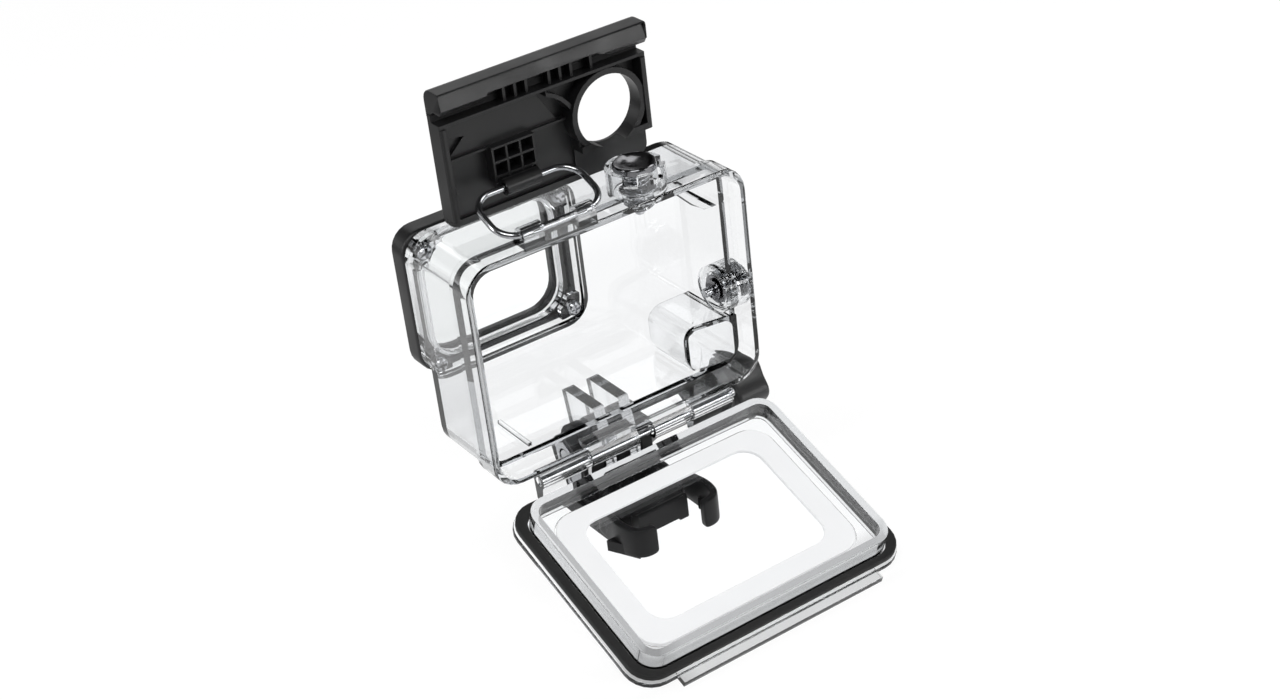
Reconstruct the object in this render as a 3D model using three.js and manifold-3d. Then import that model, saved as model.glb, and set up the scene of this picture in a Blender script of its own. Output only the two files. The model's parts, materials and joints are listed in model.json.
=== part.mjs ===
// Underwater housing for a small action camera, with its rear door open and its latch up,
// standing on a quick-release buckle.
// Millimetres. X points right seen from behind, Y points forward through the lens, Z points up.
// The housing is drawn with the rear plane of its collar at Y = 0, the collar's underside at
// Z = 0 and its middle at X = 0. The whole is then moved so that the middle of the buckle's
// underside is the origin.
import * as THREE from "three";
import { mergeVertices } from "three/addons/utils/BufferGeometryUtils.js";
import Module from "manifold-3d";

const wasm = await Module();
wasm.setup();

// Clearances and facets
const GAP = 0.3; // between pieces that touch
const OVERRUN = 1; // of a cutter past the face that it cuts
const WELD = 1e-4; // distance at which vertices are one
const CORNER_STEPS = 3; // half the facets of a quarter circle in an outline
const EDGE_STEPS = 2; // facets of a rounded edge
const ROUND_STEPS = 28; // facets of a turned piece
const SMALL_STEPS = 16; // facets of a small turned piece

// Collar, the rear flange that the door closes on
const COLLAR_WIDTH = 78;
const COLLAR_HEIGHT = 58.4;
const COLLAR_RADIUS = 7;
const COLLAR_DEPTH = 8.3;
const COLLAR_WALL = 1.6;
const COLLAR_SEAT = 7.3; // depth of the recess that takes the door's ring
const COLLAR_PROUD = 0.8; // step from the collar down to the body
const COLLAR_EDGE = 0.5;

// Body, the box round the camera
const BODY_WALL = 2.4;
const BODY_DEPTH = 27;
const BODY_EDGE = 1.3;
const BODY_WIDTH = COLLAR_WIDTH - 2 * COLLAR_PROUD;
const BODY_HEIGHT = COLLAR_HEIGHT - 2 * COLLAR_PROUD;
const BODY_RADIUS = COLLAR_RADIUS - COLLAR_PROUD;
const BODY_TOP = COLLAR_HEIGHT - COLLAR_PROUD;
const BODY_RIGHT = BODY_WIDTH / 2;
const CAVITY_RIGHT = BODY_RIGHT - BODY_WALL;
const CAVITY_TOP = BODY_TOP - BODY_WALL;
const CAVITY_FLOOR = COLLAR_PROUD + BODY_WALL;
const CAVITY_FRONT = BODY_DEPTH - BODY_WALL;
const MIDDLE_Z = COLLAR_HEIGHT / 2;

// Guides that hold the camera in the cavity
const PAD_WIDTH = 13;
const PAD_HEIGHT = 11.9;
const PAD_RADIUS = 3.8;
const PAD_REAR = 8.7; // of its nose
const PAD_SWEEP = 2; // that its rear lies further back at the wall
const PAD_UNDERCUT = 1.5; // that its foot is drawn in
const TOP_GUIDE_DROP = 10;
const TOP_GUIDE_THICKNESS = 1.4;
const TOP_GUIDE_SAG = 4;
const FLOOR_RAIL_X = -24.4;
const FLOOR_RAIL = 0.9;
const FLOOR_RAIL_END = 2.2; // from its end to the front wall

// Lens bay, the square port at the front left
const BAY_WIDTH = 45.2;
const BAY_HEIGHT = 37.6;
const BAY_INSET = 0.1; // from the body's left side
const BAY_BELOW_TOP = 1.3;
const BAY_X = BAY_INSET + BAY_WIDTH / 2 - BODY_RIGHT;
const BAY_Z = BODY_TOP - BAY_BELOW_TOP - BAY_HEIGHT / 2;
const BAY_RADIUS = 6.5;
const BAY_WALL = 2;
const BAY_FRONT = 30.2;
const BAY_FLANGE = 2; // thickness of the flange that the glass is clamped on

// Glass, its seal and the bezel that clamps them
const VIEW_SIDE = 5.3; // band of the bezel beside the view
const VIEW_BAND = 3.9; // band above and below it
const VIEW_WIDTH = BAY_WIDTH - 2 * VIEW_SIDE;
const VIEW_HEIGHT = BAY_HEIGHT - 2 * VIEW_BAND;
const VIEW_RADIUS = 7;
const SEAL_WIDTH = 1.1;
const SEAL_THICKNESS = 0.8;
const GLASS_THICKNESS = 2;
const GLASS_SPARE = 0.3; // room round the glass in its pocket
const BEZEL_DEPTH = 6;
const BEZEL_PROUD = 0.3;
const BEZEL_RADIUS = 5.8;
const BEZEL_EDGE = 0.9;
const BEZEL_FLARE = 0.8; // the front of the view widens by this much
const SCREW_FROM_SIDE = 4.4; // of the bay
const SCREW_FROM_END = 4.3;
const SCREW_X = BAY_WIDTH / 2 - SCREW_FROM_SIDE;
const SCREW_Z = BAY_HEIGHT / 2 - SCREW_FROM_END;
const SCREW_SHANK = 0.9;
const SCREW_HEAD = 1.9;
const SCREW_HEAD_HEIGHT = 1.3;
const HEAD_CROWN_SHARE = 0.72; // of the head's radius that is flat on top
const HEAD_SHOULDER_SHARE = 0.45; // of the head's height that slopes
const SLOT_SHARE = 0.6; // half the slot's length, of the head's radius
const SCREW_REACH = 4.2;
const SCREW_SLOT = 0.5;
const SCREW_SLOT_DEPTH = 0.7;
const GUSSET = 3.4; // half the width of the pillar that carries a screw
const GUSSET_DEPTH = 1.6;

// Door hinge, along X under the collar
const HINGE_Y = 1.6;
const HINGE_Z = -2.6;
const KNUCKLE_RADIUS = 2.2;
const KNUCKLE_SHARE = 0.86; // height at which the door's arm meets its knuckle, of the radius
const PIN_RADIUS = 0.9;
const PIN_HEAD = 1.4; // length of the knurled end of the pin
const PIN_KNURL = 0.2;
const HINGE_LEFT = -27.2;
const HINGE_SPLIT_LEFT = -12.8;
const HINGE_GAP_LEFT = 0.9;
const HINGE_GAP_RIGHT = 5.6;
const HINGE_SPLIT_RIGHT = 17.3;
const HINGE_RIGHT = 29.3;
const DOOR_OPEN = THREE.MathUtils.degToRad(110);

// Rear door, drawn closed with the hinge axis as its origin
const DOOR_WIDTH = COLLAR_WIDTH;
const DOOR_BOTTOM = -0.2; // in the housing's frame, closed
const DOOR_SHORT = 0.6; // from its top to the collar's
const DOOR_TOP = COLLAR_HEIGHT - DOOR_SHORT;
const DOOR_RADIUS = 7;
const DOOR_THICKNESS = 1.9;
const DOOR_EDGE = 0.6;
const RING_SPARE = 1.6; // room round the ring in the collar
const RING_WIDTH = COLLAR_WIDTH - 2 * COLLAR_WALL - 2 * RING_SPARE;
const RING_HEIGHT = COLLAR_HEIGHT - 2 * COLLAR_WALL - 2 * RING_SPARE;
const RING_RADIUS = 5;
const RING_WALL = 2;
const RING_DEPTH = 6.3;
const GASKET_INSET = 0.4; // from the door's edge
const GASKET_THICKNESS = 1.7;
const GASKET_EDGE = 0.4;
const FRAME_SIDE = 4.3; // from the ring's outside to the white frame
const FRAME_LOW = 4.2;
const FRAME_HIGH = 5;
const FRAME_WIDTH = RING_WIDTH - 2 * FRAME_SIDE;
const FRAME_BOTTOM = MIDDLE_Z - RING_HEIGHT / 2 + FRAME_LOW; // in the housing's frame, closed
const FRAME_TOP = MIDDLE_Z + RING_HEIGHT / 2 - FRAME_HIGH;
const FRAME_RADIUS = 6;
const FRAME_BAND_SIDE = 6;
const FRAME_BAND_LOW = 4.7;
const FRAME_BAND_HIGH = 5.2;
const FRAME_WINDOW_RADIUS = 5;
const FRAME_THICKNESS = 1.2;
const LEDGE_THICKNESS = 0.9; // of the step round the white frame
const LIP_LEFT = -28.5;
const LIP_RIGHT = 29.5;
const LIP_HEIGHT = 2; // that the catch lip stands above the door
const LIP_PROUD = 0.7; // that it stands out behind the door
const LIP_THICKNESS = 1.7;
const LIP_ROOT = 1.5;

// Bail, the wire ring that ties the latch lever to the housing
const LUG_Y = 1.8;
const LUG_RISE = 3.8; // of the bail's axis above the body
const LUG_Z = BODY_TOP + LUG_RISE;
const LUG_RADIUS = 2;
const LUG_LEFT_WIDTH = 5.6;
const LUG_RIGHT_WIDTH = 4.8;
const LUG_WEB = 0.8; // thickness of the web between the lugs
const LUG_WEB_RISE = 1; // that it stands above the bail's axis
const BAIL_X = -12.5;
const BAIL_LENGTH = 28;
const BAIL_LEFT = BAIL_X - BAIL_LENGTH / 2;
const BAIL_RIGHT = BAIL_X + BAIL_LENGTH / 2;
const BAIL_REACH = 14.7;
const BAIL_RADIUS = 5.5;
const WIRE_RADIUS = 0.8;
const WIRE_SIDES = 10;
const BAIL_RAISED = THREE.MathUtils.degToRad(22);
const LUG_SPREAD = 7.2; // from the middle of the bail to the middle of each lug

// Latch lever, drawn closed with the barrel on the wire as its origin
const LEVER_LEFT = -31;
const LEVER_RIGHT = 25;
const LEVER_HOOK = -27.7;
const LEVER_FRONT = 7.4;
const LEVER_OUTER = 6;
const LEVER_PANEL = 3.8;
const LEVER_RECESS = 4.8;
const LEVER_RADIUS = 3;
const LEVER_EDGE = 0.7;
const LEVER_RIM = 1.6;
const RIM_RIGHT_END = -0.6;
const HOOK_THICKNESS = 5.4;
const HOOK_DROP = 1.4; // of the hook's tip below the barrel's axis
const HOOK_SLOPE = 1.2; // that the tip leans away from the lip
const HOOK_NOSE = 0.9;
const HOOK_PROUD = 0.2;
const HOOK_INSET = 0.2; // that the hook is shifted to the right
const HOOK_RELIEF = 1.8; // that the hook's inside is set back between its ends
const HOOK_RELIEF_LEFT = -18;
const HOOK_RELIEF_RIGHT = 11.2;
const HOOK_RAMP_LEFT = 2;
const HOOK_RAMP_RIGHT = 4.2;
const GROOVE_RIB_Y = -19;
const GROOVE_RIB = 0.8;
const RIB_NEAR = 0.4; // height of the groove rib above the barrel's axis
const TOOTH = 0.8;
const TOOTH_HEIGHT = 2.2;
const TOOTH_SPACING = 3;
const TEETH_LEFT = -13.2; // first tooth of the left row
const TEETH_RIGHT = -1; // first tooth of the right row
const TEETH = 3; // in each row
const LAST_TOOTH = 10.5;
const STEP_Y = -9.1; // front of the thin rib between the panel and the deeper recess
const STEP_RIB = 0.6;
const STEP_RIB_LEFT = -28;
const STEP_RIB_HEIGHT = 0.9;
const HOLE_SHIFT = 0.5; // of the hole to the left of the button
const HOLE_Y = -8.8;
const HOLE_RADIUS = 8.8;
const HOLE_CHAMFER = 1.2;
const HOLE_WALL = 1.5;
const BOW_X = -6.2; // middle of the bowed rib's arc
const BOW_Y = -7;
const BOW_RADIUS = 11.4;
const BOW_RIB = 1;
const BOW_NEAR = 1; // height of the bowed rib above the barrel's axis
const BOW_END = THREE.MathUtils.degToRad(70);
const SCOOP = 3.2; // that the deep recess runs along the bowed rib
const SPLIT_WEB = 0.8; // web that splits the pocket beside the hole
const CORNER_POCKET = 6; // length and height of the three-cornered pocket
const CORNER_POCKET_DROP = 4.3; // from the groove rib to it
const BARREL_RADIUS = 2;
const BARREL_LENGTH = 9.4;
const BARREL_TAPER = 0.4;
const GRID_RIB = 0.6;
const GRID_WIDTH = 11;
const GRID_NEAR = 1.4; // height of the grid above the barrel's axis
const GRID_COLUMNS = 3;
const GRID_ROWS = 2;
const LEVER_STANDS = THREE.MathUtils.degToRad(-90);

// Shutter button, a plunger through the top wall
const SHUTTER_X = 14;
const SHUTTER_Y = 8.4;
const GUARD_OUTER = 7.2;
const GUARD_INNER = 5.8;
const GUARD_HEIGHT = 6.2;
const GUARD_NOTCH_WIDTH = 3.4;
const GUARD_NOTCH_DEPTH = 2.8;
const GUARD_NOTCHES = 3;
const GUARD_NOTCH_START = THREE.MathUtils.degToRad(225);
const GUARD_NOTCH_TURN = THREE.MathUtils.degToRad(60);
const SHAFT_RADIUS = 1.25;
const SHAFT_GROOVE = 0.4;
const BOSS_RADIUS = 3.8;
const BOSS_LENGTH = 1.7;
const GLAND_RADIUS = 2.6;
const GLAND_DEPTH = 1.5;
const O_RING_RADIUS = 1.95;
const O_RING_SECTION = 0.4;
const WASHER_RADIUS = 4.4;
const WASHER_THICKNESS = 0.5;
const SPRING_RADIUS = 2.7;
const SPRING_WIRE = 0.25; // radius of the spring wire
const SPRING_CURLS = 3;
const CURL_STEPS = 8;
const CURL_SIDES = 5;
const SHUTTER_SPRING_LENGTH = 4;
const CAP_RADIUS = 5.3;
const CAP_HEIGHT = 1.9;
const CAP_DISH = 0.35;
const CAP_RIM_SHARE = 0.8; // where the dish starts, of the cap's radius
const CAP_FLOOR_SHARE = 0.5; // where the dish has most of its depth
const DISH_SHARE = 0.8; // of the depth that it has there
const CAP_SOCKET = 1;
const CLIP_RADIUS = 2.9;
const CLIP_THICKNESS = 0.5;
const CLIP_MOUTH = 1.5;
const SHUTTER_TAIL = 1.4; // of the shaft past its clip

// Side button, a plunger through the right wall
const SIDE_Y = 10.8;
const SIDE_Z = 21.5;
const SIDE_RING_OUTER = 6.2;
const SIDE_RING_INNER = 5;
const SIDE_RING_IN = 1.9; // that the ring stands into the cavity
const SIDE_RING_OUT = 3.6; // that it stands out of the body
const SIDE_WEB = 2.1;
const SIDE_WEB_SUNK = 0.8; // of the web's outer face below the body's side
const SIDE_RING_INSIDE = CAVITY_RIGHT - SIDE_RING_IN;
const SIDE_RING_OUTSIDE = BODY_RIGHT + SIDE_RING_OUT;
const SIDE_WEB_OUTSIDE = BODY_RIGHT - SIDE_WEB_SUNK;
const SIDE_WEB_INSIDE = SIDE_WEB_OUTSIDE - SIDE_WEB;
const SIDE_CAP_RADIUS = 4.5;
const SIDE_CAP_HEIGHT = 1.7;
const SIDE_SPRING_LENGTH = 3;
const SIDE_SPRING_CURLS = 2;
const SIDE_WASHER_RADIUS = 3.8;
const SIDE_TAIL = 2.4;

// Mount fingers and the thumb screw through them
const MOUNT_X = 1.7;
const MOUNT_Y = 17;
const MOUNT_DROP = 12; // of the screw's axis below the collar's underside
const FINGER_PITCH = 3.65;
const FINGER_THICKNESS = 3.05;
const FINGER_RADIUS = 7.4;
const FINGER_REAR = 13; // of the finger's root, in the housing's frame
const FINGER_FRONT = BODY_DEPTH;
const SCREW_BOLT = 2.5;
const BOLT_SPARE = 0.3;

// Quick-release buckle, drawn with the middle of its underside as its origin
const AXIS_HEIGHT = 15.3;
const BUCKLE_LENGTH = 43.6;
const AXIS_FROM_FRONT = 13.2;
const AXIS_FORWARD = BUCKLE_LENGTH / 2 - AXIS_FROM_FRONT;
const BUCKLE_PLATE = 5;
const BUCKLE_HALF = 10.6;
const BUCKLE_EDGE = 0.5;
const ARM_PAD_LENGTH = 8.6;
const ARM_BEND = ARM_PAD_LENGTH - BUCKLE_LENGTH / 2;
const TAIL_BEYOND = 0.7; // that the tail ends behind the bend of the arms
const TAIL_REAR = ARM_BEND - TAIL_BEYOND;
const TAIL_HALF = 7.4;
const TAIL_TALL = 7;
const TAIL_LENGTH = 3.4;
const TAIL_RAIL = 2.5; // width of the rails left under the tail
const TAIL_RELIEF = 0.9;
const RIDGE_RADIUS = 0.8;
const CROSS_LENGTH = 8.8; // of the block at the front that carries the arms
const CROSS_REAR = BUCKLE_LENGTH / 2 - CROSS_LENGTH;
const ARM_INNER = 11.6;
const ARM_OUTER = 13.4;
const ARM_HEIGHT = 5;
const TIP_INNER = 6.4;
const TIP_OUTER = 11.6;
const BARB_HALF = 15.8; // half the width over the barbs
const BARB_AHEAD = 1.3; // that the barb ends ahead of the bend
const BARB_FRONT = ARM_BEND + BARB_AHEAD;
const BARB_TALL = 3.3;
const PAD_TALL = 8.4;
const PAD_FOOT = 0.8; // rounding of the pads
const NUT_FLATS = 8;
const NUT_THICKNESS = 3;
const NUT_SPARE = 0.3;
const NUT_BOSS_RADIUS = 6;
const NUT_BOSS = 3.4;

// Thumb knob
const NECK_REAR = 4.2; // radius of the neck beside the fingers
const NECK_FRONT = 5.4;
const NECK_LENGTH = 26;
const KNOB_LENGTH = 10;
const KNOB_RADIUS = 9.3;
const KNOB_LOBES = 6;
const KNOB_SWELL = 1.1; // height of the lobes
const KNOB_EDGE = 1.2;
const KNOB_POINTS = 48;
const BOLT_IN_KNOB = 30;

// Materials
const clearPlastic = new THREE.MeshStandardMaterial({
  color: 0xf3f6f8,
  roughness: 0.06,
  metalness: 0,
  transparent: true,
  opacity: 0.28,
});
const glass = new THREE.MeshStandardMaterial({
  color: 0xf6fafa,
  roughness: 0.02,
  metalness: 0,
  transparent: true,
  opacity: 0.2,
});
const blackPlastic = new THREE.MeshStandardMaterial({ color: 0x242426, roughness: 0.5 });
const blackRubber = new THREE.MeshStandardMaterial({ color: 0x1b1b1c, roughness: 0.7 });
const whiteSilicone = new THREE.MeshStandardMaterial({ color: 0xf2f2f3, roughness: 0.55 });
const steel = new THREE.MeshStandardMaterial({ color: 0xb9bcc0, roughness: 0.22, metalness: 1 });
const mirrorSteel = new THREE.MeshStandardMaterial({ color: 0x77797d, roughness: 0.1, metalness: 1 });

// Solids from three.js geometry

// A closed geometry as a solid whose faces point out.
function toSolid(geometry) {
  const bare = geometry.clone();
  bare.deleteAttribute("normal");
  bare.deleteAttribute("uv");
  const merged = mergeVertices(bare, WELD);
  const triVerts = new Uint32Array(merged.index.array);
  const vertProperties = merged.attributes.position.array;
  const solid = new wasm.Manifold(new wasm.Mesh({ numProp: 3, vertProperties, triVerts }));
  if (solid.volume() > 0) return solid;
  const turned = triVerts.map((vertex, i) => triVerts[i - (i % 3) + ((3 - (i % 3)) % 3)]);
  return new wasm.Manifold(new wasm.Mesh({ numProp: 3, vertProperties, triVerts: turned }));
}

function toGeometry(solid) {
  const mesh = solid.getMesh();
  const geometry = new THREE.BufferGeometry();
  geometry.setAttribute("position", new THREE.BufferAttribute(mesh.vertProperties, 3));
  geometry.setIndex(new THREE.BufferAttribute(mesh.triVerts, 1));
  const flat = geometry.toNonIndexed();
  flat.computeVertexNormals();
  return flat;
}

function join(...solids) {
  return solids.reduce((whole, solid) => whole.add(solid));
}

function cut(solid, ...cutters) {
  return cutters.reduce((rest, cutter) => rest.subtract(cutter), solid);
}

// A shape whose x and y become the two axes across the direction of extrusion.
function extrude(shape, start, end, edge = 0) {
  const geometry = new THREE.ExtrudeGeometry(shape, {
    depth: end - start - 2 * edge,
    curveSegments: CORNER_STEPS,
    bevelEnabled: edge > 0,
    bevelThickness: edge,
    bevelSize: edge,
    bevelOffset: -edge,
    bevelSegments: EDGE_STEPS,
  });
  geometry.translate(0, 0, start + edge);
  return geometry;
}

// The shape lies in the YZ plane.
function alongX(shape, start, end, edge) {
  const turn = new THREE.Matrix4().makeBasis(
    new THREE.Vector3(0, 1, 0),
    new THREE.Vector3(0, 0, 1),
    new THREE.Vector3(1, 0, 0),
  );
  return toSolid(extrude(shape, start, end, edge).applyMatrix4(turn));
}

// The shape lies in the XZ plane.
function alongY(shape, start, end, edge) {
  return toSolid(extrude(shape, -end, -start, edge).rotateX(Math.PI / 2));
}

// The shape lies in the XY plane.
function alongZ(shape, start, end, edge) {
  return toSolid(extrude(shape, start, end, edge));
}

function polygon(points) {
  return new THREE.Shape(points.map(([x, y]) => new THREE.Vector2(x, y)));
}

function roundedRectangle(width, height, radius, x = 0, y = 0) {
  const shape = new THREE.Shape();
  const acrossX = width / 2 - radius;
  const acrossY = height / 2 - radius;
  shape.absarc(x + acrossX, y - acrossY, radius, -Math.PI / 2, 0);
  shape.absarc(x + acrossX, y + acrossY, radius, 0, Math.PI / 2);
  shape.absarc(x - acrossX, y + acrossY, radius, Math.PI / 2, Math.PI);
  shape.absarc(x - acrossX, y - acrossY, radius, Math.PI, Math.PI * 1.5);
  return shape;
}

function box(x0, y0, z0, x1, y1, z1) {
  const geometry = new THREE.BoxGeometry(x1 - x0, y1 - y0, z1 - z0);
  geometry.translate((x0 + x1) / 2, (y0 + y1) / 2, (z0 + z1) / 2);
  return toSolid(geometry);
}

// A profile of [radius, height] points, revolved about Y, X or Z.
function turn(profile, axis, place = [0, 0, 0], steps = ROUND_STEPS) {
  const points = profile.map(([radius, height]) => new THREE.Vector2(radius, height));
  const geometry = new THREE.LatheGeometry(points, steps);
  if (axis === "x") geometry.rotateZ(-Math.PI / 2);
  if (axis === "z") geometry.rotateX(Math.PI / 2);
  geometry.translate(...place);
  return toSolid(geometry);
}

function rod(axis, radius, start, end, place, steps = ROUND_STEPS) {
  const profile = [
    [0, start],
    [radius, start],
    [radius, end],
    [0, end],
  ];
  return turn(profile, axis, place, steps);
}

function sleeve(axis, inner, outer, start, end, place, steps = ROUND_STEPS) {
  const profile = [
    [inner, start],
    [outer, start],
    [outer, end],
    [inner, end],
    [inner, start],
  ];
  return turn(profile, axis, place, steps);
}

// Mesh for one piece of the object.
function piece(name, solid, material) {
  const mesh = new THREE.Mesh(toGeometry(solid), material);
  mesh.name = name;
  return mesh;
}

// Front housing

function collar() {
  const outline = roundedRectangle(COLLAR_WIDTH, COLLAR_HEIGHT, COLLAR_RADIUS, 0, MIDDLE_Z);
  return alongY(outline, 0, COLLAR_DEPTH, COLLAR_EDGE);
}

function body() {
  const outline = roundedRectangle(BODY_WIDTH, BODY_HEIGHT, BODY_RADIUS, 0, MIDDLE_Z);
  return alongY(outline, COLLAR_DEPTH / 2, BODY_DEPTH, BODY_EDGE);
}

function cavity() {
  const seat = roundedRectangle(
    COLLAR_WIDTH - 2 * COLLAR_WALL,
    COLLAR_HEIGHT - 2 * COLLAR_WALL,
    COLLAR_RADIUS - COLLAR_WALL,
    0,
    MIDDLE_Z,
  );
  const room = roundedRectangle(
    BODY_WIDTH - 2 * BODY_WALL,
    BODY_HEIGHT - 2 * BODY_WALL,
    BODY_RADIUS - BODY_WALL,
    0,
    MIDDLE_Z,
  );
  return join(alongY(seat, -OVERRUN, COLLAR_SEAT), alongY(room, 0, CAVITY_FRONT));
}

function bayOutline(inset) {
  return roundedRectangle(
    BAY_WIDTH - 2 * inset,
    BAY_HEIGHT - 2 * inset,
    BAY_RADIUS - inset,
    BAY_X,
    BAY_Z,
  );
}

function viewOutline(proud) {
  return roundedRectangle(
    VIEW_WIDTH + 2 * proud,
    VIEW_HEIGHT + 2 * proud,
    VIEW_RADIUS + proud,
    BAY_X,
    BAY_Z,
  );
}

// The four places round the middle of the bay where a screw goes.
function screwPlaces() {
  const places = [];
  for (const side of [-1, 1]) {
    for (const level of [-1, 1]) {
      places.push([BAY_X + side * SCREW_X, BAY_Z + level * SCREW_Z]);
    }
  }
  return places;
}

function cameraGuides() {
  const pad = roundedRectangle(
    PAD_WIDTH + PAD_RADIUS,
    PAD_HEIGHT + PAD_RADIUS,
    PAD_RADIUS,
    CAVITY_RIGHT - (PAD_WIDTH - PAD_RADIUS) / 2,
    CAVITY_FLOOR + (PAD_HEIGHT - PAD_RADIUS) / 2,
  );
  const front = BODY_DEPTH - BODY_EDGE;
  const nose = CAVITY_RIGHT - PAD_WIDTH;
  const padTop = CAVITY_FLOOR + PAD_HEIGHT;
  const sweep = polygon([
    [nose - OVERRUN, PAD_REAR - PAD_SWEEP - OVERRUN],
    [BODY_RIGHT + OVERRUN, PAD_REAR - PAD_SWEEP - OVERRUN],
    [BODY_RIGHT + OVERRUN, PAD_REAR - PAD_SWEEP],
    [CAVITY_RIGHT, PAD_REAR - PAD_SWEEP],
    [nose, PAD_REAR],
    [nose - OVERRUN, PAD_REAR],
  ]);
  const undercut = polygon([
    [nose - OVERRUN, CAVITY_FLOOR - OVERRUN],
    [nose + PAD_UNDERCUT, CAVITY_FLOOR - OVERRUN],
    [nose + PAD_UNDERCUT, CAVITY_FLOOR],
    [nose, CAVITY_FLOOR + 2 * PAD_UNDERCUT],
    [nose - OVERRUN, CAVITY_FLOOR + 2 * PAD_UNDERCUT],
  ]);
  const block = cut(
    alongY(pad, PAD_REAR - PAD_SWEEP, front),
    alongZ(sweep, CAVITY_FLOOR - BODY_WALL, padTop + OVERRUN),
    alongY(undercut, 0, CAVITY_FRONT),
  );
  const guide = new THREE.Shape();
  const top = CAVITY_TOP - TOP_GUIDE_DROP;
  guide.moveTo(COLLAR_DEPTH, top);
  guide.quadraticCurveTo(
    PAD_REAR + TOP_GUIDE_SAG,
    top - TOP_GUIDE_SAG,
    CAVITY_FRONT,
    top - TOP_GUIDE_SAG / 2,
  );
  guide.lineTo(front, top - TOP_GUIDE_SAG / 2);
  guide.lineTo(front, top);
  const topGuide = alongX(guide, CAVITY_RIGHT - TOP_GUIDE_THICKNESS, BODY_RIGHT - BODY_EDGE);
  const rail = box(
    FLOOR_RAIL_X - FLOOR_RAIL / 2,
    COLLAR_DEPTH,
    CAVITY_FLOOR - BODY_WALL / 2,
    FLOOR_RAIL_X + FLOOR_RAIL / 2,
    CAVITY_FRONT - FLOOR_RAIL_END,
    CAVITY_FLOOR + FLOOR_RAIL,
  );
  const room = roundedRectangle(BODY_WIDTH, BODY_HEIGHT, BODY_RADIUS, 0, MIDDLE_Z);
  return join(block, topGuide, rail).intersect(alongY(room, 0, BODY_DEPTH));
}

function lensBay() {
  const tube = alongY(bayOutline(0), CAVITY_FRONT, BAY_FRONT);
  const hollow = alongY(bayOutline(BAY_WALL), CAVITY_FRONT - OVERRUN, BAY_FRONT - BAY_FLANGE);
  const view = alongY(viewOutline(0), CAVITY_FRONT - OVERRUN, BAY_FRONT + OVERRUN);
  const frontOfFlange = BAY_FRONT - BAY_FLANGE;
  const headSeat = frontOfFlange - GUSSET_DEPTH;
  let pillars = null;
  let bores = null;
  let headRoom = null;
  for (const [x, z] of screwPlaces()) {
    const outline = roundedRectangle(2 * GUSSET, 2 * GUSSET, GUSSET / 2, x, z);
    const pillar = alongY(outline, headSeat, BAY_FRONT - BAY_FLANGE / 2);
    const bore = rod("y", SCREW_SHANK + GAP, CAVITY_FRONT, BAY_FRONT + OVERRUN, [x, 0, z], SMALL_STEPS);
    const room = rod("y", SCREW_HEAD + GAP, CAVITY_FRONT - OVERRUN, headSeat, [x, 0, z], SMALL_STEPS);
    pillars = pillars ? pillars.add(pillar) : pillar;
    bores = bores ? bores.add(bore) : bore;
    headRoom = headRoom ? headRoom.add(room) : room;
  }
  const inside = alongY(bayOutline(BAY_WALL / 2), CAVITY_FRONT, BAY_FRONT);
  const clearOfView = alongY(viewOutline(SEAL_WIDTH / 2), CAVITY_FRONT, BAY_FRONT);
  const seats = cut(pillars.intersect(inside), clearOfView);
  return { tube, hollow, view, pillars: seats, bores, headRoom };
}

// A knuckle of the hinge with the neck that ties it to the collar.
function housingKnuckle(left, right) {
  const neck = polygon([
    [HINGE_Y - KNUCKLE_RADIUS, HINGE_Z],
    [HINGE_Y + KNUCKLE_RADIUS, HINGE_Z],
    [HINGE_Y + 2 * KNUCKLE_RADIUS, COLLAR_WALL / 2],
    [COLLAR_WALL / 2, COLLAR_WALL / 2],
  ]);
  const barrel = rod("x", KNUCKLE_RADIUS, left, right, [0, HINGE_Y, HINGE_Z]);
  return barrel.add(alongX(neck, left, right));
}

function fingerShape(axisY, axisZ, rootRear, rootFront, rootZ) {
  const shape = new THREE.Shape();
  const turns = rootZ > axisZ;
  shape.moveTo(rootFront, rootZ);
  shape.lineTo(rootRear, rootZ);
  if (turns) {
    shape.lineTo(axisY - FINGER_RADIUS, axisZ);
    shape.absarc(axisY, axisZ, FINGER_RADIUS, Math.PI, Math.PI * 1.5);
    shape.absarc(axisY, axisZ, FINGER_RADIUS, Math.PI * 1.5, Math.PI * 2);
    return shape;
  }
  shape.lineTo(axisY - FINGER_RADIUS, axisZ);
  shape.absarc(axisY, axisZ, FINGER_RADIUS, Math.PI, Math.PI / 2, true);
  shape.absarc(axisY, axisZ, FINGER_RADIUS, Math.PI / 2, 0, true);
  return shape;
}

function housingFingers() {
  const outline = fingerShape(MOUNT_Y, -MOUNT_DROP, FINGER_REAR - GAP, FINGER_FRONT, CAVITY_FLOOR / 2);
  const fingers = [-1, 1].map((side) => {
    const middle = MOUNT_X + side * FINGER_PITCH;
    return alongX(outline, middle - FINGER_THICKNESS / 2, middle + FINGER_THICKNESS / 2);
  });
  return join(...fingers);
}

// The two lugs, with the web that joins them behind the wire.
function bailLugs() {
  const root = polygon([
    [LUG_Y - LUG_RADIUS, LUG_Z],
    [LUG_Y - LUG_RADIUS, BODY_TOP],
    [LUG_Y + 2 * LUG_RADIUS, BODY_TOP],
    [LUG_Y + LUG_RADIUS, LUG_Z],
  ]);
  const lugs = [
    [BAIL_X - LUG_SPREAD, LUG_LEFT_WIDTH],
    [BAIL_X + LUG_SPREAD, LUG_RIGHT_WIDTH],
  ].map(([middle, width]) => {
    const left = middle - width / 2;
    const right = middle + width / 2;
    return rod("x", LUG_RADIUS, left, right, [0, LUG_Y, LUG_Z]).add(alongX(root, left, right));
  });
  const web = box(
    BAIL_X - LUG_SPREAD,
    LUG_Y - LUG_RADIUS,
    BODY_TOP,
    BAIL_X + LUG_SPREAD,
    LUG_Y - LUG_RADIUS + LUG_WEB,
    LUG_Z + LUG_WEB_RISE,
  );
  return join(...lugs, web);
}

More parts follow.
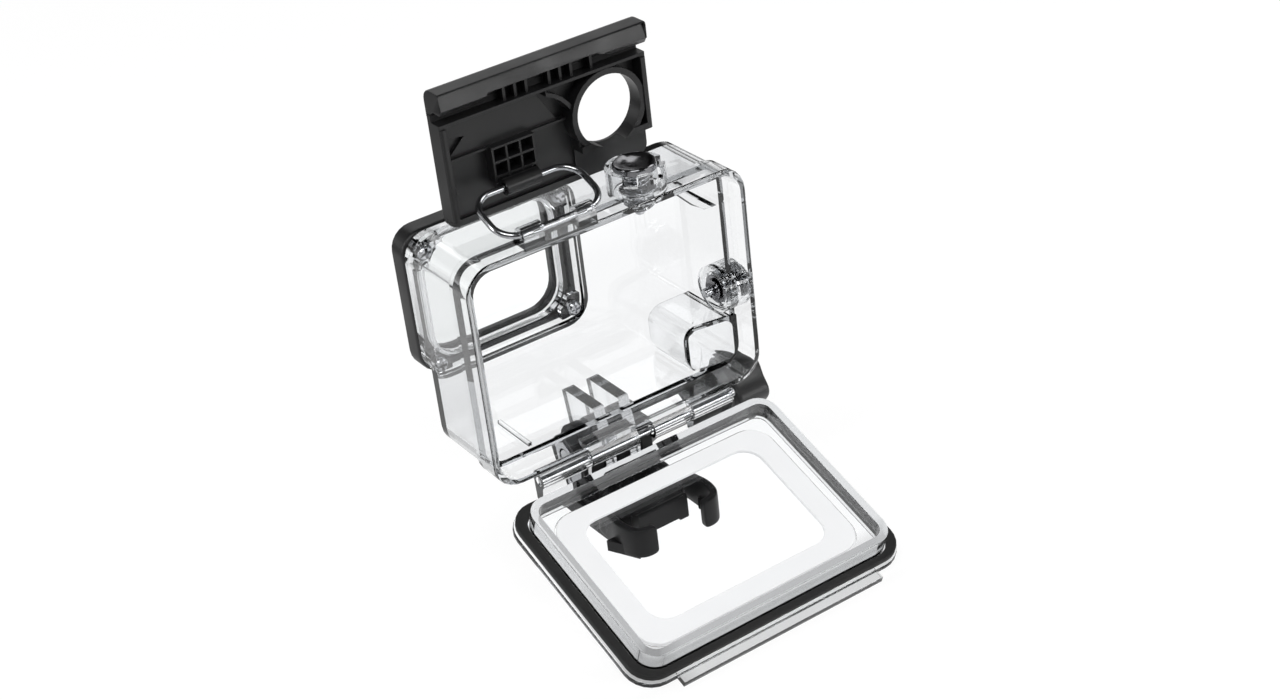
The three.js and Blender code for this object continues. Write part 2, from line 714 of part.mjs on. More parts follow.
function shutterGuard() {
  const place = [SHUTTER_X, SHUTTER_Y, 0];
  const top = BODY_TOP + GUARD_HEIGHT;
  let guard = sleeve("z", GUARD_INNER, GUARD_OUTER, BODY_TOP - BODY_WALL / 2, top, place);
  for (let i = 0; i < GUARD_NOTCHES; i += 1) {
    const angle = GUARD_NOTCH_START + i * GUARD_NOTCH_TURN;
    const notch = box(
      GUARD_INNER - OVERRUN,
      -GUARD_NOTCH_WIDTH / 2,
      top - GUARD_NOTCH_DEPTH,
      GUARD_OUTER + OVERRUN,
      GUARD_NOTCH_WIDTH / 2,
      top + OVERRUN,
    );
    const turned = notch.rotate([0, 0, THREE.MathUtils.radToDeg(angle)]).translate(place);
    guard = guard.subtract(turned);
  }
  return guard;
}

function frontHousing() {
  const bay = lensBay();
  const hingeAxis = [0, HINGE_Y, HINGE_Z];
  const bailAxis = [0, LUG_Y, LUG_Z];
  const shutter = [SHUTTER_X, SHUTTER_Y, 0];
  const side = [0, SIDE_Y, SIDE_Z];
  const mount = [0, MOUNT_Y, -MOUNT_DROP];
  const bore = SHAFT_RADIUS + GAP;

  let shell = join(collar(), body(), bay.tube);
  shell = cut(shell, cavity(), bay.hollow, bay.view);
  shell = join(
    shell,
    bay.pillars,
    cameraGuides(),
    housingKnuckle(HINGE_SPLIT_LEFT, HINGE_GAP_LEFT),
    housingKnuckle(HINGE_GAP_RIGHT, HINGE_SPLIT_RIGHT - GAP),
    housingFingers(),
    bailLugs(),
    shutterGuard(),
    rod("z", BOSS_RADIUS, CAVITY_TOP - BOSS_LENGTH, BODY_TOP - GAP, shutter),
    rod("x", SIDE_RING_OUTER, SIDE_RING_INSIDE, SIDE_RING_OUTSIDE, side),
  );
  return cut(
    shell,
    bay.bores,
    bay.headRoom,
    rod("x", PIN_RADIUS + GAP, HINGE_LEFT, HINGE_RIGHT, hingeAxis, SMALL_STEPS),
    rod("x", WIRE_RADIUS + GAP, BAIL_LEFT, BAIL_RIGHT, bailAxis, SMALL_STEPS),
    rod("x", SCREW_BOLT + BOLT_SPARE, -FINGER_REAR, FINGER_REAR, mount),
    rod("z", GUARD_INNER, BODY_TOP, BODY_TOP + GUARD_HEIGHT + OVERRUN, shutter),
    rod("z", bore, CAVITY_TOP - BOSS_LENGTH - OVERRUN, BODY_TOP + OVERRUN, shutter, SMALL_STEPS),
    rod("z", GLAND_RADIUS, BODY_TOP - GLAND_DEPTH, BODY_TOP + OVERRUN, shutter, SMALL_STEPS),
    rod("x", SIDE_RING_INNER, SIDE_RING_INSIDE - OVERRUN, SIDE_WEB_INSIDE, side),
    rod("x", SIDE_RING_INNER, SIDE_WEB_OUTSIDE, SIDE_RING_OUTSIDE + OVERRUN, side),
    rod("x", bore, SIDE_WEB_INSIDE - OVERRUN, SIDE_WEB_OUTSIDE + OVERRUN, side, SMALL_STEPS),
    rod("x", GLAND_RADIUS, SIDE_WEB_OUTSIDE - GLAND_DEPTH, SIDE_WEB_OUTSIDE + OVERRUN, side, SMALL_STEPS),
  );
}

// Lens port

const SEAL_REAR = BAY_FRONT + GAP;
const GLASS_REAR = SEAL_REAR + SEAL_THICKNESS + GAP;
const GLASS_FRONT = GLASS_REAR + GLASS_THICKNESS;
const BEZEL_REAR = BAY_FRONT + GAP;
const BEZEL_FRONT = BEZEL_REAR + BEZEL_DEPTH;

function lensSeal() {
  const outer = alongY(viewOutline(SEAL_WIDTH), SEAL_REAR, SEAL_REAR + SEAL_THICKNESS);
  const inner = alongY(viewOutline(0), SEAL_REAR - OVERRUN, GLASS_REAR);
  return cut(outer, inner);
}

function lensGlass() {
  return alongY(viewOutline(SEAL_WIDTH), GLASS_REAR, GLASS_FRONT, GAP);
}

function lensBezel() {
  const outline = roundedRectangle(
    BAY_WIDTH + 2 * BEZEL_PROUD,
    BAY_HEIGHT + 2 * BEZEL_PROUD,
    BEZEL_RADIUS,
    BAY_X,
    BAY_Z,
  );
  const block = alongY(outline, BEZEL_REAR, BEZEL_FRONT, BEZEL_EDGE);
  const pocket = alongY(viewOutline(SEAL_WIDTH + GLASS_SPARE), BEZEL_REAR - OVERRUN, GLASS_FRONT + GAP);
  const view = alongY(viewOutline(0), BEZEL_REAR, BEZEL_FRONT + OVERRUN);
  const flare = alongY(viewOutline(BEZEL_FLARE), BEZEL_FRONT - BEZEL_FLARE, BEZEL_FRONT + OVERRUN);
  const threads = screwPlaces().map(([x, z]) => {
    const reach = BEZEL_REAR + SCREW_REACH + GAP;
    return rod("y", SCREW_SHANK + GAP, BEZEL_REAR - OVERRUN, reach, [x, 0, z], SMALL_STEPS);
  });
  return cut(block, pocket, view, flare, ...threads);
}

function bezelScrew(x, z) {
  const seat = BAY_FRONT - BAY_FLANGE - GUSSET_DEPTH - GAP;
  const top = seat - SCREW_HEAD_HEIGHT;
  const profile = [
    [0, top],
    [SCREW_HEAD * HEAD_CROWN_SHARE, top],
    [SCREW_HEAD, top + SCREW_HEAD_HEIGHT * HEAD_SHOULDER_SHARE],
    [SCREW_HEAD, seat],
    [SCREW_SHANK, seat],
    [SCREW_SHANK, BEZEL_REAR + SCREW_REACH],
    [0, BEZEL_REAR + SCREW_REACH],
  ];
  const long = SCREW_HEAD * SLOT_SHARE;
  const narrow = SCREW_SLOT / 2;
  const floor = top + SCREW_SLOT_DEPTH;
  const slots = [
    box(-long, top - OVERRUN, -narrow, long, floor, narrow),
    box(-narrow, top - OVERRUN, -long, narrow, floor, long),
  ];
  return cut(turn(profile, "y", [0, 0, 0], SMALL_STEPS), ...slots).translate([x, 0, z]);
}

// Rear door, drawn closed about the hinge axis

const DOOR_INNER = -(GASKET_THICKNESS + 2 * GAP) - HINGE_Y;
const DOOR_OUTER = DOOR_INNER - DOOR_THICKNESS;
const DOOR_MIDDLE = (DOOR_BOTTOM + DOOR_TOP) / 2 - HINGE_Z;
const DOOR_HEIGHT = DOOR_TOP - DOOR_BOTTOM;

function doorRing(outerInset, innerInset, start, end, edge, filled = false) {
  const outer = roundedRectangle(
    RING_WIDTH - 2 * outerInset,
    RING_HEIGHT - 2 * outerInset,
    RING_RADIUS - outerInset,
    0,
    MIDDLE_Z - HINGE_Z,
  );
  const inner = roundedRectangle(
    RING_WIDTH - 2 * innerInset,
    RING_HEIGHT - 2 * innerInset,
    RING_RADIUS - innerInset,
    0,
    MIDDLE_Z - HINGE_Z,
  );
  const disc = alongY(outer, start, end, edge);
  if (filled) return disc;
  return cut(disc, alongY(inner, start - OVERRUN, end + OVERRUN));
}

function frameOutline(proud) {
  return roundedRectangle(
    FRAME_WIDTH + 2 * proud,
    FRAME_TOP - FRAME_BOTTOM + 2 * proud,
    FRAME_RADIUS + proud,
    0,
    (FRAME_TOP + FRAME_BOTTOM) / 2 - HINGE_Z,
  );
}

function doorKnuckle(left, right) {
  const arm = polygon([
    [DOOR_OUTER, 2 * KNUCKLE_RADIUS],
    [DOOR_OUTER, DOOR_BOTTOM - HINGE_Z - KNUCKLE_RADIUS],
    [-KNUCKLE_RADIUS / 2, -KNUCKLE_RADIUS * KNUCKLE_SHARE],
    [KNUCKLE_RADIUS / 2, 0],
    [-KNUCKLE_RADIUS / 2, KNUCKLE_RADIUS * KNUCKLE_SHARE],
    [DOOR_INNER, DOOR_BOTTOM - HINGE_Z],
    [DOOR_INNER, 2 * KNUCKLE_RADIUS],
  ]);
  return rod("x", KNUCKLE_RADIUS, left, right, [0, 0, 0]).add(alongX(arm, left, right));
}

function rearDoor() {
  const outline = roundedRectangle(DOOR_WIDTH, DOOR_HEIGHT, DOOR_RADIUS, 0, DOOR_MIDDLE);
  const plate = alongY(outline, DOOR_OUTER, DOOR_INNER, DOOR_EDGE);
  const ring = doorRing(0, RING_WALL, DOOR_INNER - DOOR_THICKNESS / 2, DOOR_INNER + RING_DEPTH);
  const top = DOOR_TOP - HINGE_Z;
  const lip = box(
    LIP_LEFT,
    DOOR_OUTER - LIP_PROUD,
    top - LIP_ROOT,
    LIP_RIGHT,
    DOOR_OUTER - LIP_PROUD + LIP_THICKNESS,
    top + LIP_HEIGHT,
  );
  const well = frameOutline(GAP);
  const ledge = cut(
    doorRing(RING_WALL / 2, 0, DOOR_INNER - DOOR_THICKNESS / 2, DOOR_INNER + LEDGE_THICKNESS, 0, true),
    alongY(well, DOOR_INNER - DOOR_THICKNESS, DOOR_INNER + LEDGE_THICKNESS + OVERRUN),
  );
  const whole = join(
    plate,
    ring,
    ledge,
    lip,
    doorKnuckle(HINGE_LEFT, HINGE_SPLIT_LEFT - GAP),
    doorKnuckle(HINGE_SPLIT_RIGHT, HINGE_RIGHT),
  );
  const bore = PIN_RADIUS + GAP;
  return cut(whole, rod("x", bore, HINGE_LEFT - OVERRUN, HINGE_RIGHT + OVERRUN, [0, 0, 0], SMALL_STEPS));
}

function doorGasket() {
  const start = DOOR_INNER + GAP;
  const end = start + GASKET_THICKNESS;
  const outline = roundedRectangle(
    DOOR_WIDTH - 2 * GASKET_INSET,
    DOOR_HEIGHT - 2 * GASKET_INSET,
    DOOR_RADIUS - GASKET_INSET,
    0,
    DOOR_MIDDLE,
  );
  const hollow = doorRing(-GAP, 0, start - OVERRUN, end + OVERRUN, 0, true);
  return cut(alongY(outline, start, end, GASKET_EDGE), hollow);
}

function doorInnerFrame() {
  const start = DOOR_INNER + GAP;
  const end = start + FRAME_THICKNESS;
  const low = FRAME_BOTTOM + FRAME_BAND_LOW - HINGE_Z;
  const high = FRAME_TOP - FRAME_BAND_HIGH - HINGE_Z;
  const width = FRAME_WIDTH - 2 * FRAME_BAND_SIDE;
  const window = roundedRectangle(width, high - low, FRAME_WINDOW_RADIUS, 0, (low + high) / 2);
  return cut(alongY(frameOutline(0), start, end), alongY(window, start - OVERRUN, end + OVERRUN));
}

function hingePin() {
  const profile = [
    [0, HINGE_LEFT + GAP],
    [PIN_RADIUS, HINGE_LEFT + GAP],
    [PIN_RADIUS, HINGE_RIGHT],
    [PIN_RADIUS + PIN_KNURL, HINGE_RIGHT + PIN_KNURL],
    [PIN_RADIUS + PIN_KNURL, HINGE_RIGHT + PIN_HEAD],
    [0, HINGE_RIGHT + PIN_HEAD],
  ];
  return turn(profile, "x", [0, HINGE_Y, HINGE_Z], SMALL_STEPS);
}

// Latch: the bail is drawn about the lugs, lying forward, and the lever about the wire, closed

function bailWire() {
  const half = BAIL_LENGTH / 2 - BAIL_RADIUS;
  const corners = [
    [BAIL_X + half, BAIL_RADIUS, -Math.PI / 2],
    [BAIL_X + half, BAIL_REACH - BAIL_RADIUS, 0],
    [BAIL_X - half, BAIL_REACH - BAIL_RADIUS, Math.PI / 2],
    [BAIL_X - half, BAIL_RADIUS, Math.PI],
  ];
  const arcs = corners.map(([x, y, start]) => {
    const points = [];
    for (let i = 0; i <= 2 * CORNER_STEPS; i += 1) {
      const angle = start + (i / (2 * CORNER_STEPS)) * (Math.PI / 2);
      const across = x + BAIL_RADIUS * Math.cos(angle);
      points.push(new THREE.Vector3(across, y + BAIL_RADIUS * Math.sin(angle), 0));
    }
    return points;
  });
  return wireAlong(arcs.flat());
}

// A closed wire in the XY plane, one ring of sides at each point of its centre line.
function wireAlong(points) {
  const positions = [];
  const faces = [];
  const count = points.length;
  points.forEach((point, i) => {
    const before = points[(i + count - 1) % count];
    const after = points[(i + 1) % count];
    const heading = new THREE.Vector3().subVectors(after, before).normalize();
    const outward = new THREE.Vector3(heading.y, -heading.x, 0);
    for (let side = 0; side < WIRE_SIDES; side += 1) {
      const angle = (side / WIRE_SIDES) * 2 * Math.PI;
      const spot = point.clone().addScaledVector(outward, WIRE_RADIUS * Math.cos(angle));
      spot.z += WIRE_RADIUS * Math.sin(angle);
      positions.push(spot.x, spot.y, spot.z);
      const a = i * WIRE_SIDES + side;
      const b = i * WIRE_SIDES + ((side + 1) % WIRE_SIDES);
      const c = ((i + 1) % count) * WIRE_SIDES + side;
      const d = ((i + 1) % count) * WIRE_SIDES + ((side + 1) % WIRE_SIDES);
      faces.push(a, c, d, a, d, b);
    }
  });
  const geometry = new THREE.BufferGeometry();
  geometry.setAttribute("position", new THREE.Float32BufferAttribute(positions, 3));
  geometry.setIndex(faces);
  return toSolid(geometry);
}

const LEVER_WIDTH = LEVER_RIGHT - LEVER_LEFT;
const LEVER_MIDDLE = (LEVER_RIGHT + LEVER_LEFT) / 2;

// Block with the lever's outline, hollowed from below to leave the panel, its rims and two ribs.
function leverShell() {
  const length = LEVER_FRONT - LEVER_HOOK;
  const outline = roundedRectangle(
    LEVER_WIDTH,
    length,
    LEVER_RADIUS,
    LEVER_MIDDLE,
    (LEVER_FRONT + LEVER_HOOK) / 2,
  );
  const block = alongZ(outline, 0, LEVER_OUTER, LEVER_EDGE);
  const left = LEVER_LEFT + LEVER_RIM;
  const right = LEVER_RIGHT - LEVER_RIM;
  const beyond = LEVER_RIGHT + OVERRUN;
  const before = LEVER_LEFT - OVERRUN;
  const ahead = LEVER_FRONT + OVERRUN;
  const behind = LEVER_HOOK - OVERRUN;
  const above = LEVER_OUTER + OVERRUN;
  const shelf = RIM_RIGHT_END - LEVER_RIM;
  const groove = GROOVE_RIB_Y - GROOVE_RIB;
  const hook = LEVER_HOOK + HOOK_THICKNESS + HOOK_NOSE;
  const bow = BOW_X + BOW_RADIUS - BOW_RIB / 2;
  const corner = GROOVE_RIB_Y + CORNER_POCKET_DROP;
  const pocket = polygon([
    [left, corner],
    [left + CORNER_POCKET, corner + LEVER_RIM / 2],
    [left, corner + CORNER_POCKET],
  ]);
  const scoop = polygon([
    [BOW_X + BOW_RADIUS * Math.cos(BOW_END) - SCOOP / 2, GROOVE_RIB_Y + GROOVE_RIB],
    [bow, BOW_Y - BOW_RADIUS / 2],
    [bow, STEP_Y],
    [bow - SCOOP, STEP_Y],
  ]);
  const shell = cut(
    block,
    box(left, GROOVE_RIB_Y, -OVERRUN, right, shelf, LEVER_PANEL),
    box(left, shelf - OVERRUN, -OVERRUN, bow, ahead, LEVER_PANEL),
    box(bow - OVERRUN, RIM_RIGHT_END, -OVERRUN, beyond, ahead, LEVER_PANEL),
    box(before, LEVER_FRONT - LEVER_RADIUS, -OVERRUN, beyond, ahead, LEVER_PANEL),
    box(left, STEP_Y, LEVER_PANEL - OVERRUN, bow, LEVER_FRONT - LEVER_RIM, LEVER_RECESS),
    alongZ(pocket, LEVER_PANEL - OVERRUN, LEVER_RECESS),
    alongZ(scoop, LEVER_PANEL - OVERRUN, LEVER_RECESS),
    box(before, groove - OVERRUN, -OVERRUN, beyond, GROOVE_RIB_Y + GAP, RIB_NEAR),
    box(before, behind, -OVERRUN, beyond, groove, LEVER_PANEL),
    box(before, behind, -OVERRUN, beyond, hook, above),
  );
  const ribNear = LEVER_PANEL - STEP_RIB_HEIGHT;
  const ribTop = LEVER_OUTER - LEVER_EDGE;
  const stepRib = box(STEP_RIB_LEFT, STEP_Y - STEP_RIB, ribNear, bow - SCOOP / 2, STEP_Y, ribTop);
  return shell.add(stepRib);
}

// Rib that starts at the groove rib, bows towards the hole and runs straight to the front.
function bowedRib(top) {
  const outside = BOW_RADIUS + BOW_RIB / 2;
  const inside = BOW_RADIUS - BOW_RIB / 2;
  const root = GROOVE_RIB_Y - GROOVE_RIB / 2;
  const shape = new THREE.Shape();
  shape.moveTo(BOW_X + outside, RIM_RIGHT_END);
  shape.lineTo(BOW_X + outside, BOW_Y);
  shape.absarc(BOW_X, BOW_Y, outside, 0, -BOW_END, true);
  shape.lineTo(BOW_X + outside * Math.cos(BOW_END), root);
  shape.lineTo(BOW_X + inside * Math.cos(BOW_END), root);
  shape.absarc(BOW_X, BOW_Y, inside, -BOW_END, 0);
  shape.lineTo(BOW_X + inside, RIM_RIGHT_END);
  return alongZ(shape, BOW_NEAR, top);
}

function leverHook() {
  const shape = new THREE.Shape();
  const inner = LEVER_HOOK + HOOK_THICKNESS;
  const middle = LEVER_HOOK + HOOK_NOSE;
  const root = inner + HOOK_NOSE * 2;
  const top = LEVER_OUTER + HOOK_PROUD;
  shape.moveTo(root, top);
  shape.lineTo(LEVER_HOOK + LEVER_RADIUS, top);
  shape.absarc(LEVER_HOOK + LEVER_RADIUS, top - LEVER_RADIUS, LEVER_RADIUS, Math.PI / 2, Math.PI);
  shape.absarc(middle, HOOK_NOSE - HOOK_DROP, HOOK_NOSE, Math.PI, Math.PI * 1.5);
  shape.lineTo(inner - HOOK_SLOPE, -HOOK_DROP);
  shape.lineTo(inner, HOOK_SLOPE - HOOK_DROP);
  shape.lineTo(inner, LEVER_PANEL - HOOK_NOSE);
  shape.lineTo(inner + HOOK_NOSE, LEVER_PANEL + HOOK_PROUD);
  shape.lineTo(root, LEVER_PANEL + HOOK_PROUD);
  const hook = alongX(shape, LEVER_LEFT + HOOK_INSET, LEVER_RIGHT + HOOK_INSET, LEVER_EDGE / 2);
  const relief = polygon([
    [HOOK_RELIEF_LEFT - HOOK_RAMP_LEFT, inner],
    [HOOK_RELIEF_LEFT, inner - HOOK_RELIEF],
    [HOOK_RELIEF_RIGHT, inner - HOOK_RELIEF],
    [HOOK_RELIEF_RIGHT + HOOK_RAMP_RIGHT, inner],
    [HOOK_RELIEF_RIGHT + HOOK_RAMP_RIGHT, root],
    [HOOK_RELIEF_LEFT - HOOK_RAMP_LEFT, root],
  ]);
  return cut(hook, alongZ(relief, -HOOK_DROP - OVERRUN, LEVER_PANEL));
}

// Ribs that tie the hook to the groove rib, two rows and one by itself.
function leverTeeth() {
  const places = [LAST_TOOTH];
  for (const first of [TEETH_LEFT, TEETH_RIGHT]) {
    for (let i = 0; i < TEETH; i += 1) places.push(first + i * TOOTH_SPACING);
  }
  const rear = LEVER_HOOK + HOOK_THICKNESS - HOOK_RELIEF - GAP;
  const teeth = places.map((left) =>
    box(
      left,
      rear,
      LEVER_PANEL - TOOTH_HEIGHT,
      left + TOOTH,
      GROOVE_RIB_Y - GROOVE_RIB / 2,
      LEVER_OUTER - LEVER_EDGE,
    ),
  );
  return join(...teeth);
}

// Rib grid that carries the barrel, and the barrel itself.
function leverBarrel() {
  const parts = [];
  const top = LEVER_OUTER - LEVER_EDGE;
  const gridLeft = BAIL_X - GRID_WIDTH / 2;
  const pitch = GRID_WIDTH / GRID_COLUMNS;
  for (let i = 0; i <= GRID_COLUMNS; i += 1) {
    const x = gridLeft + i * pitch;
    const reach = -BARREL_RADIUS / 2;
    parts.push(box(x - GRID_RIB / 2, STEP_Y - STEP_RIB, GRID_NEAR, x + GRID_RIB / 2, reach, top));
  }
  const rowPitch = (STEP_Y + BARREL_RADIUS) / GRID_ROWS;
  for (let i = 0; i <= GRID_ROWS; i += 1) {
    const y = STEP_Y - i * rowPitch;
    parts.push(box(gridLeft, y - GRID_RIB, GRID_NEAR, gridLeft + GRID_WIDTH, y, top));
  }
  const left = BAIL_X - BARREL_LENGTH / 2;
  const right = BAIL_X + BARREL_LENGTH / 2;
  const web = polygon([
    [-BARREL_RADIUS + BARREL_TAPER, 0],
    [BARREL_RADIUS - BARREL_TAPER, 0],
    [BARREL_RADIUS + BARREL_TAPER, top],
    [-BARREL_RADIUS - BARREL_TAPER, top],
  ]);
  parts.push(rod("x", BARREL_RADIUS, left, right, [0, 0, 0]));
  parts.push(alongX(web, left + BARREL_TAPER, right - BARREL_TAPER));
  return join(...parts);
}

function latchLever() {
  const holeX = SHUTTER_X - HOLE_SHIFT;
  const hole = [holeX, HOLE_Y, 0];
  const top = LEVER_OUTER - LEVER_EDGE;
  const rimMiddle = LEVER_RIM / 2;
  const collarWall = sleeve("z", HOLE_RADIUS - GAP, HOLE_RADIUS + HOLE_WALL, GAP, top, hole);
  const split = box(
    holeX + HOLE_RADIUS,
    HOLE_Y - SPLIT_WEB / 2,
    BOW_NEAR,
    LEVER_RIGHT - rimMiddle,
    HOLE_Y + SPLIT_WEB / 2,
    top,
  );
  const chamfer = [
    [0, LEVER_OUTER - HOLE_CHAMFER],
    [HOLE_RADIUS, LEVER_OUTER - HOLE_CHAMFER],
    [HOLE_RADIUS + HOLE_CHAMFER + OVERRUN, LEVER_OUTER + OVERRUN],
    [0, LEVER_OUTER + OVERRUN],
  ];
  const room = box(
    LEVER_LEFT + rimMiddle,
    GROOVE_RIB_Y - GROOVE_RIB / 2,
    0,
    LEVER_RIGHT - rimMiddle,
    RIM_RIGHT_END - rimMiddle,
    LEVER_OUTER,
  );
  const whole = join(
    leverShell(),
    leverHook(),
    leverTeeth(),
    leverBarrel(),
    join(collarWall, bowedRib(top), split).intersect(room),
  );
  return cut(
    whole,
    rod("z", HOLE_RADIUS, -OVERRUN, LEVER_OUTER + OVERRUN, hole, ROUND_STEPS * 2),
    turn(chamfer, "z", hole, ROUND_STEPS * 2),
    rod("x", WIRE_RADIUS + GAP, BAIL_LEFT, BAIL_RIGHT, [0, 0, 0], SMALL_STEPS),
  );
}

// Plungers: every piece is drawn along Z with the outer face of its wall at Z = 0

// One unbroken spring tube with straight ends, standing from its foot.
function spring(radius, length, curls) {
  const centre = [];
  const straight = 2 * SPRING_WIRE;
  const steps = curls * CURL_STEPS;
  centre.push(new THREE.Vector3(radius, 0, 0));
  for (let i = 0; i <= steps; i += 1) {
    const angle = (i / CURL_STEPS) * 2 * Math.PI;
    const height = straight + ((length - 2 * straight) * i) / steps;
    centre.push(new THREE.Vector3(radius * Math.cos(angle), radius * Math.sin(angle), height));
  }
  const last = centre[centre.length - 1];
  centre.push(new THREE.Vector3(last.x, last.y, length));
  console.log("least gap of a spring to itself", leastGap(centre).toFixed(2), "mm");
  return tubeAlong(centre);
}

// Least distance between the surfaces of curls that pass over each other.
function leastGap(centre) {
  let least = Infinity;
  for (let i = 1; i < centre.length - 1; i += 1) {
    for (let j = i + CURL_STEPS - 1; j < centre.length - 1; j += 1) {
      least = Math.min(least, centre[i].distanceTo(centre[j]) - 2 * SPRING_WIRE);
    }
  }
  return least;
}

function tubeAlong(centre) {
  const positions = [];
  const faces = [];
  const count = centre.length;
  centre.forEach((point, i) => {
    const outward = new THREE.Vector3(point.x, point.y, 0).normalize();
    const before = centre[Math.max(i - 1, 0)];
    const after = centre[Math.min(i + 1, count - 1)];
    const heading = new THREE.Vector3().subVectors(after, before).normalize();
    const isEnd = i === 0 || i === count - 1;
    const along = isEnd ? new THREE.Vector3(0, 0, 1) : heading;
    const across = new THREE.Vector3().crossVectors(along, outward).normalize();
    for (let side = 0; side < CURL_SIDES; side += 1) {
      const angle = (side / CURL_SIDES) * 2 * Math.PI;
      const spot = point.clone().addScaledVector(outward, SPRING_WIRE * Math.cos(angle));
      spot.addScaledVector(across, SPRING_WIRE * Math.sin(angle));
      positions.push(spot.x, spot.y, spot.z);
      if (i === count - 1) continue;
      const a = i * CURL_SIDES + side;
      const b = i * CURL_SIDES + ((side + 1) % CURL_SIDES);
      faces.push(a, b, b + CURL_SIDES, a, b + CURL_SIDES, a + CURL_SIDES);
    }
  });
  const end = (count - 1) * CURL_SIDES;
  for (let side = 1; side < CURL_SIDES - 1; side += 1) {
    faces.push(0, side + 1, side, end, end + side, end + side + 1);
  }
  const geometry = new THREE.BufferGeometry();
  geometry.setAttribute("position", new THREE.Float32BufferAttribute(positions, 3));
  geometry.setIndex(faces);
  return toSolid(geometry);
}

function plungerWasher(radius, start) {
  return sleeve("z", SHAFT_RADIUS + GAP, radius, start, start + WASHER_THICKNESS);
}

function plungerCap(radius, height, start) {
  const rim = start + height;
  const edge = CAP_DISH;
  const profile = [
    [0, start + CAP_SOCKET],
    [SHAFT_RADIUS + GAP, start + CAP_SOCKET],
    [SHAFT_RADIUS + GAP, start],
    [radius, start],
    [radius, rim - edge],
    [radius - edge, rim],
    [radius * CAP_RIM_SHARE, rim],
    [radius * CAP_FLOOR_SHARE, rim - CAP_DISH * DISH_SHARE],
    [0, rim - CAP_DISH],
  ];
  return turn(profile, "z");
}

// Shaft with the groove for its clip; the clip's top face is at clipTop.
function plungerShaft(top, clipTop, tail) {
  const neck = SHAFT_RADIUS - SHAFT_GROOVE;
  const grooveTop = clipTop + GAP / 2;
  const grooveBottom = clipTop - CLIP_THICKNESS - GAP / 2;
  const bottom = grooveBottom - tail;
  const profile = [
    [0, bottom],
    [SHAFT_RADIUS - SHAFT_GROOVE / 2, bottom],
    [SHAFT_RADIUS, bottom + SHAFT_GROOVE],
    [SHAFT_RADIUS, grooveBottom],
    [neck, grooveBottom],
    [neck, grooveTop],
    [SHAFT_RADIUS, grooveTop],
    [SHAFT_RADIUS, top],
    [0, top],
  ];
  return turn(profile, "z", [0, 0, 0], SMALL_STEPS);
}

function retainingClip(clipTop) {
  const start = clipTop - CLIP_THICKNESS;
  const inner = SHAFT_RADIUS - SHAFT_GROOVE + GAP / 2;
  const disc = sleeve("z", inner, CLIP_RADIUS, start, clipTop, [0, 0, 0], SMALL_STEPS);
  const mouth = box(
    0,
    -CLIP_MOUTH / 2,
    start - OVERRUN,
    CLIP_RADIUS + OVERRUN,
    CLIP_MOUTH / 2,
    clipTop + OVERRUN,
  );
  return cut(disc, mouth);
}

function oRing(start) {
  const ring = new THREE.TorusGeometry(O_RING_RADIUS, O_RING_SECTION, WIRE_SIDES, ROUND_STEPS);
  return toSolid(ring.translate(0, 0, start + O_RING_SECTION));
}

// Buckle, thumb screw and knob, drawn about the middle of the buckle's underside

function buckleFingers() {
  const rear = AXIS_FORWARD - FINGER_RADIUS;
  const front = AXIS_FORWARD + FINGER_RADIUS;
  const outline = fingerShape(AXIS_FORWARD, AXIS_HEIGHT, rear, front, BUCKLE_PLATE / 2);
  const fingers = [-2, 0, 2].map((place) => {
    const middle = place * FINGER_PITCH;
    return alongX(outline, middle - FINGER_THICKNESS / 2, middle + FINGER_THICKNESS / 2);
  });
  return join(...fingers);
}

function buckleBody() {
  const front = BUCKLE_LENGTH / 2;
  const nose = front - BUCKLE_PLATE;
  const step = TAIL_REAR + TAIL_LENGTH;
  const half = [
    [TAIL_HALF, TAIL_REAR],
    [TAIL_HALF, step],
    [BUCKLE_HALF, step + BUCKLE_HALF - TAIL_HALF],
    [BUCKLE_HALF, CROSS_REAR],
    [ARM_OUTER, CROSS_REAR],
    [ARM_OUTER, nose],
    [BUCKLE_HALF, front],
  ];
  const mirrored = half.map(([x, y]) => [-x, y]).reverse();
  const plate = alongZ(polygon([...half, ...mirrored]), 0, BUCKLE_PLATE, BUCKLE_EDGE);
  const tail = box(-TAIL_HALF, TAIL_REAR, BUCKLE_PLATE / 2, TAIL_HALF, step, TAIL_TALL - RIDGE_RADIUS);
  const ridgeMiddle = [0, TAIL_REAR + RIDGE_RADIUS, TAIL_TALL - RIDGE_RADIUS];
  const ridge = rod("x", RIDGE_RADIUS, -TAIL_HALF, TAIL_HALF, ridgeMiddle, SMALL_STEPS);
  const relief = box(
    TAIL_RAIL - TAIL_HALF,
    TAIL_REAR - OVERRUN,
    -OVERRUN,
    TAIL_HALF - TAIL_RAIL,
    step,
    TAIL_RELIEF,
  );
  return cut(join(plate, tail, ridge), relief);
}

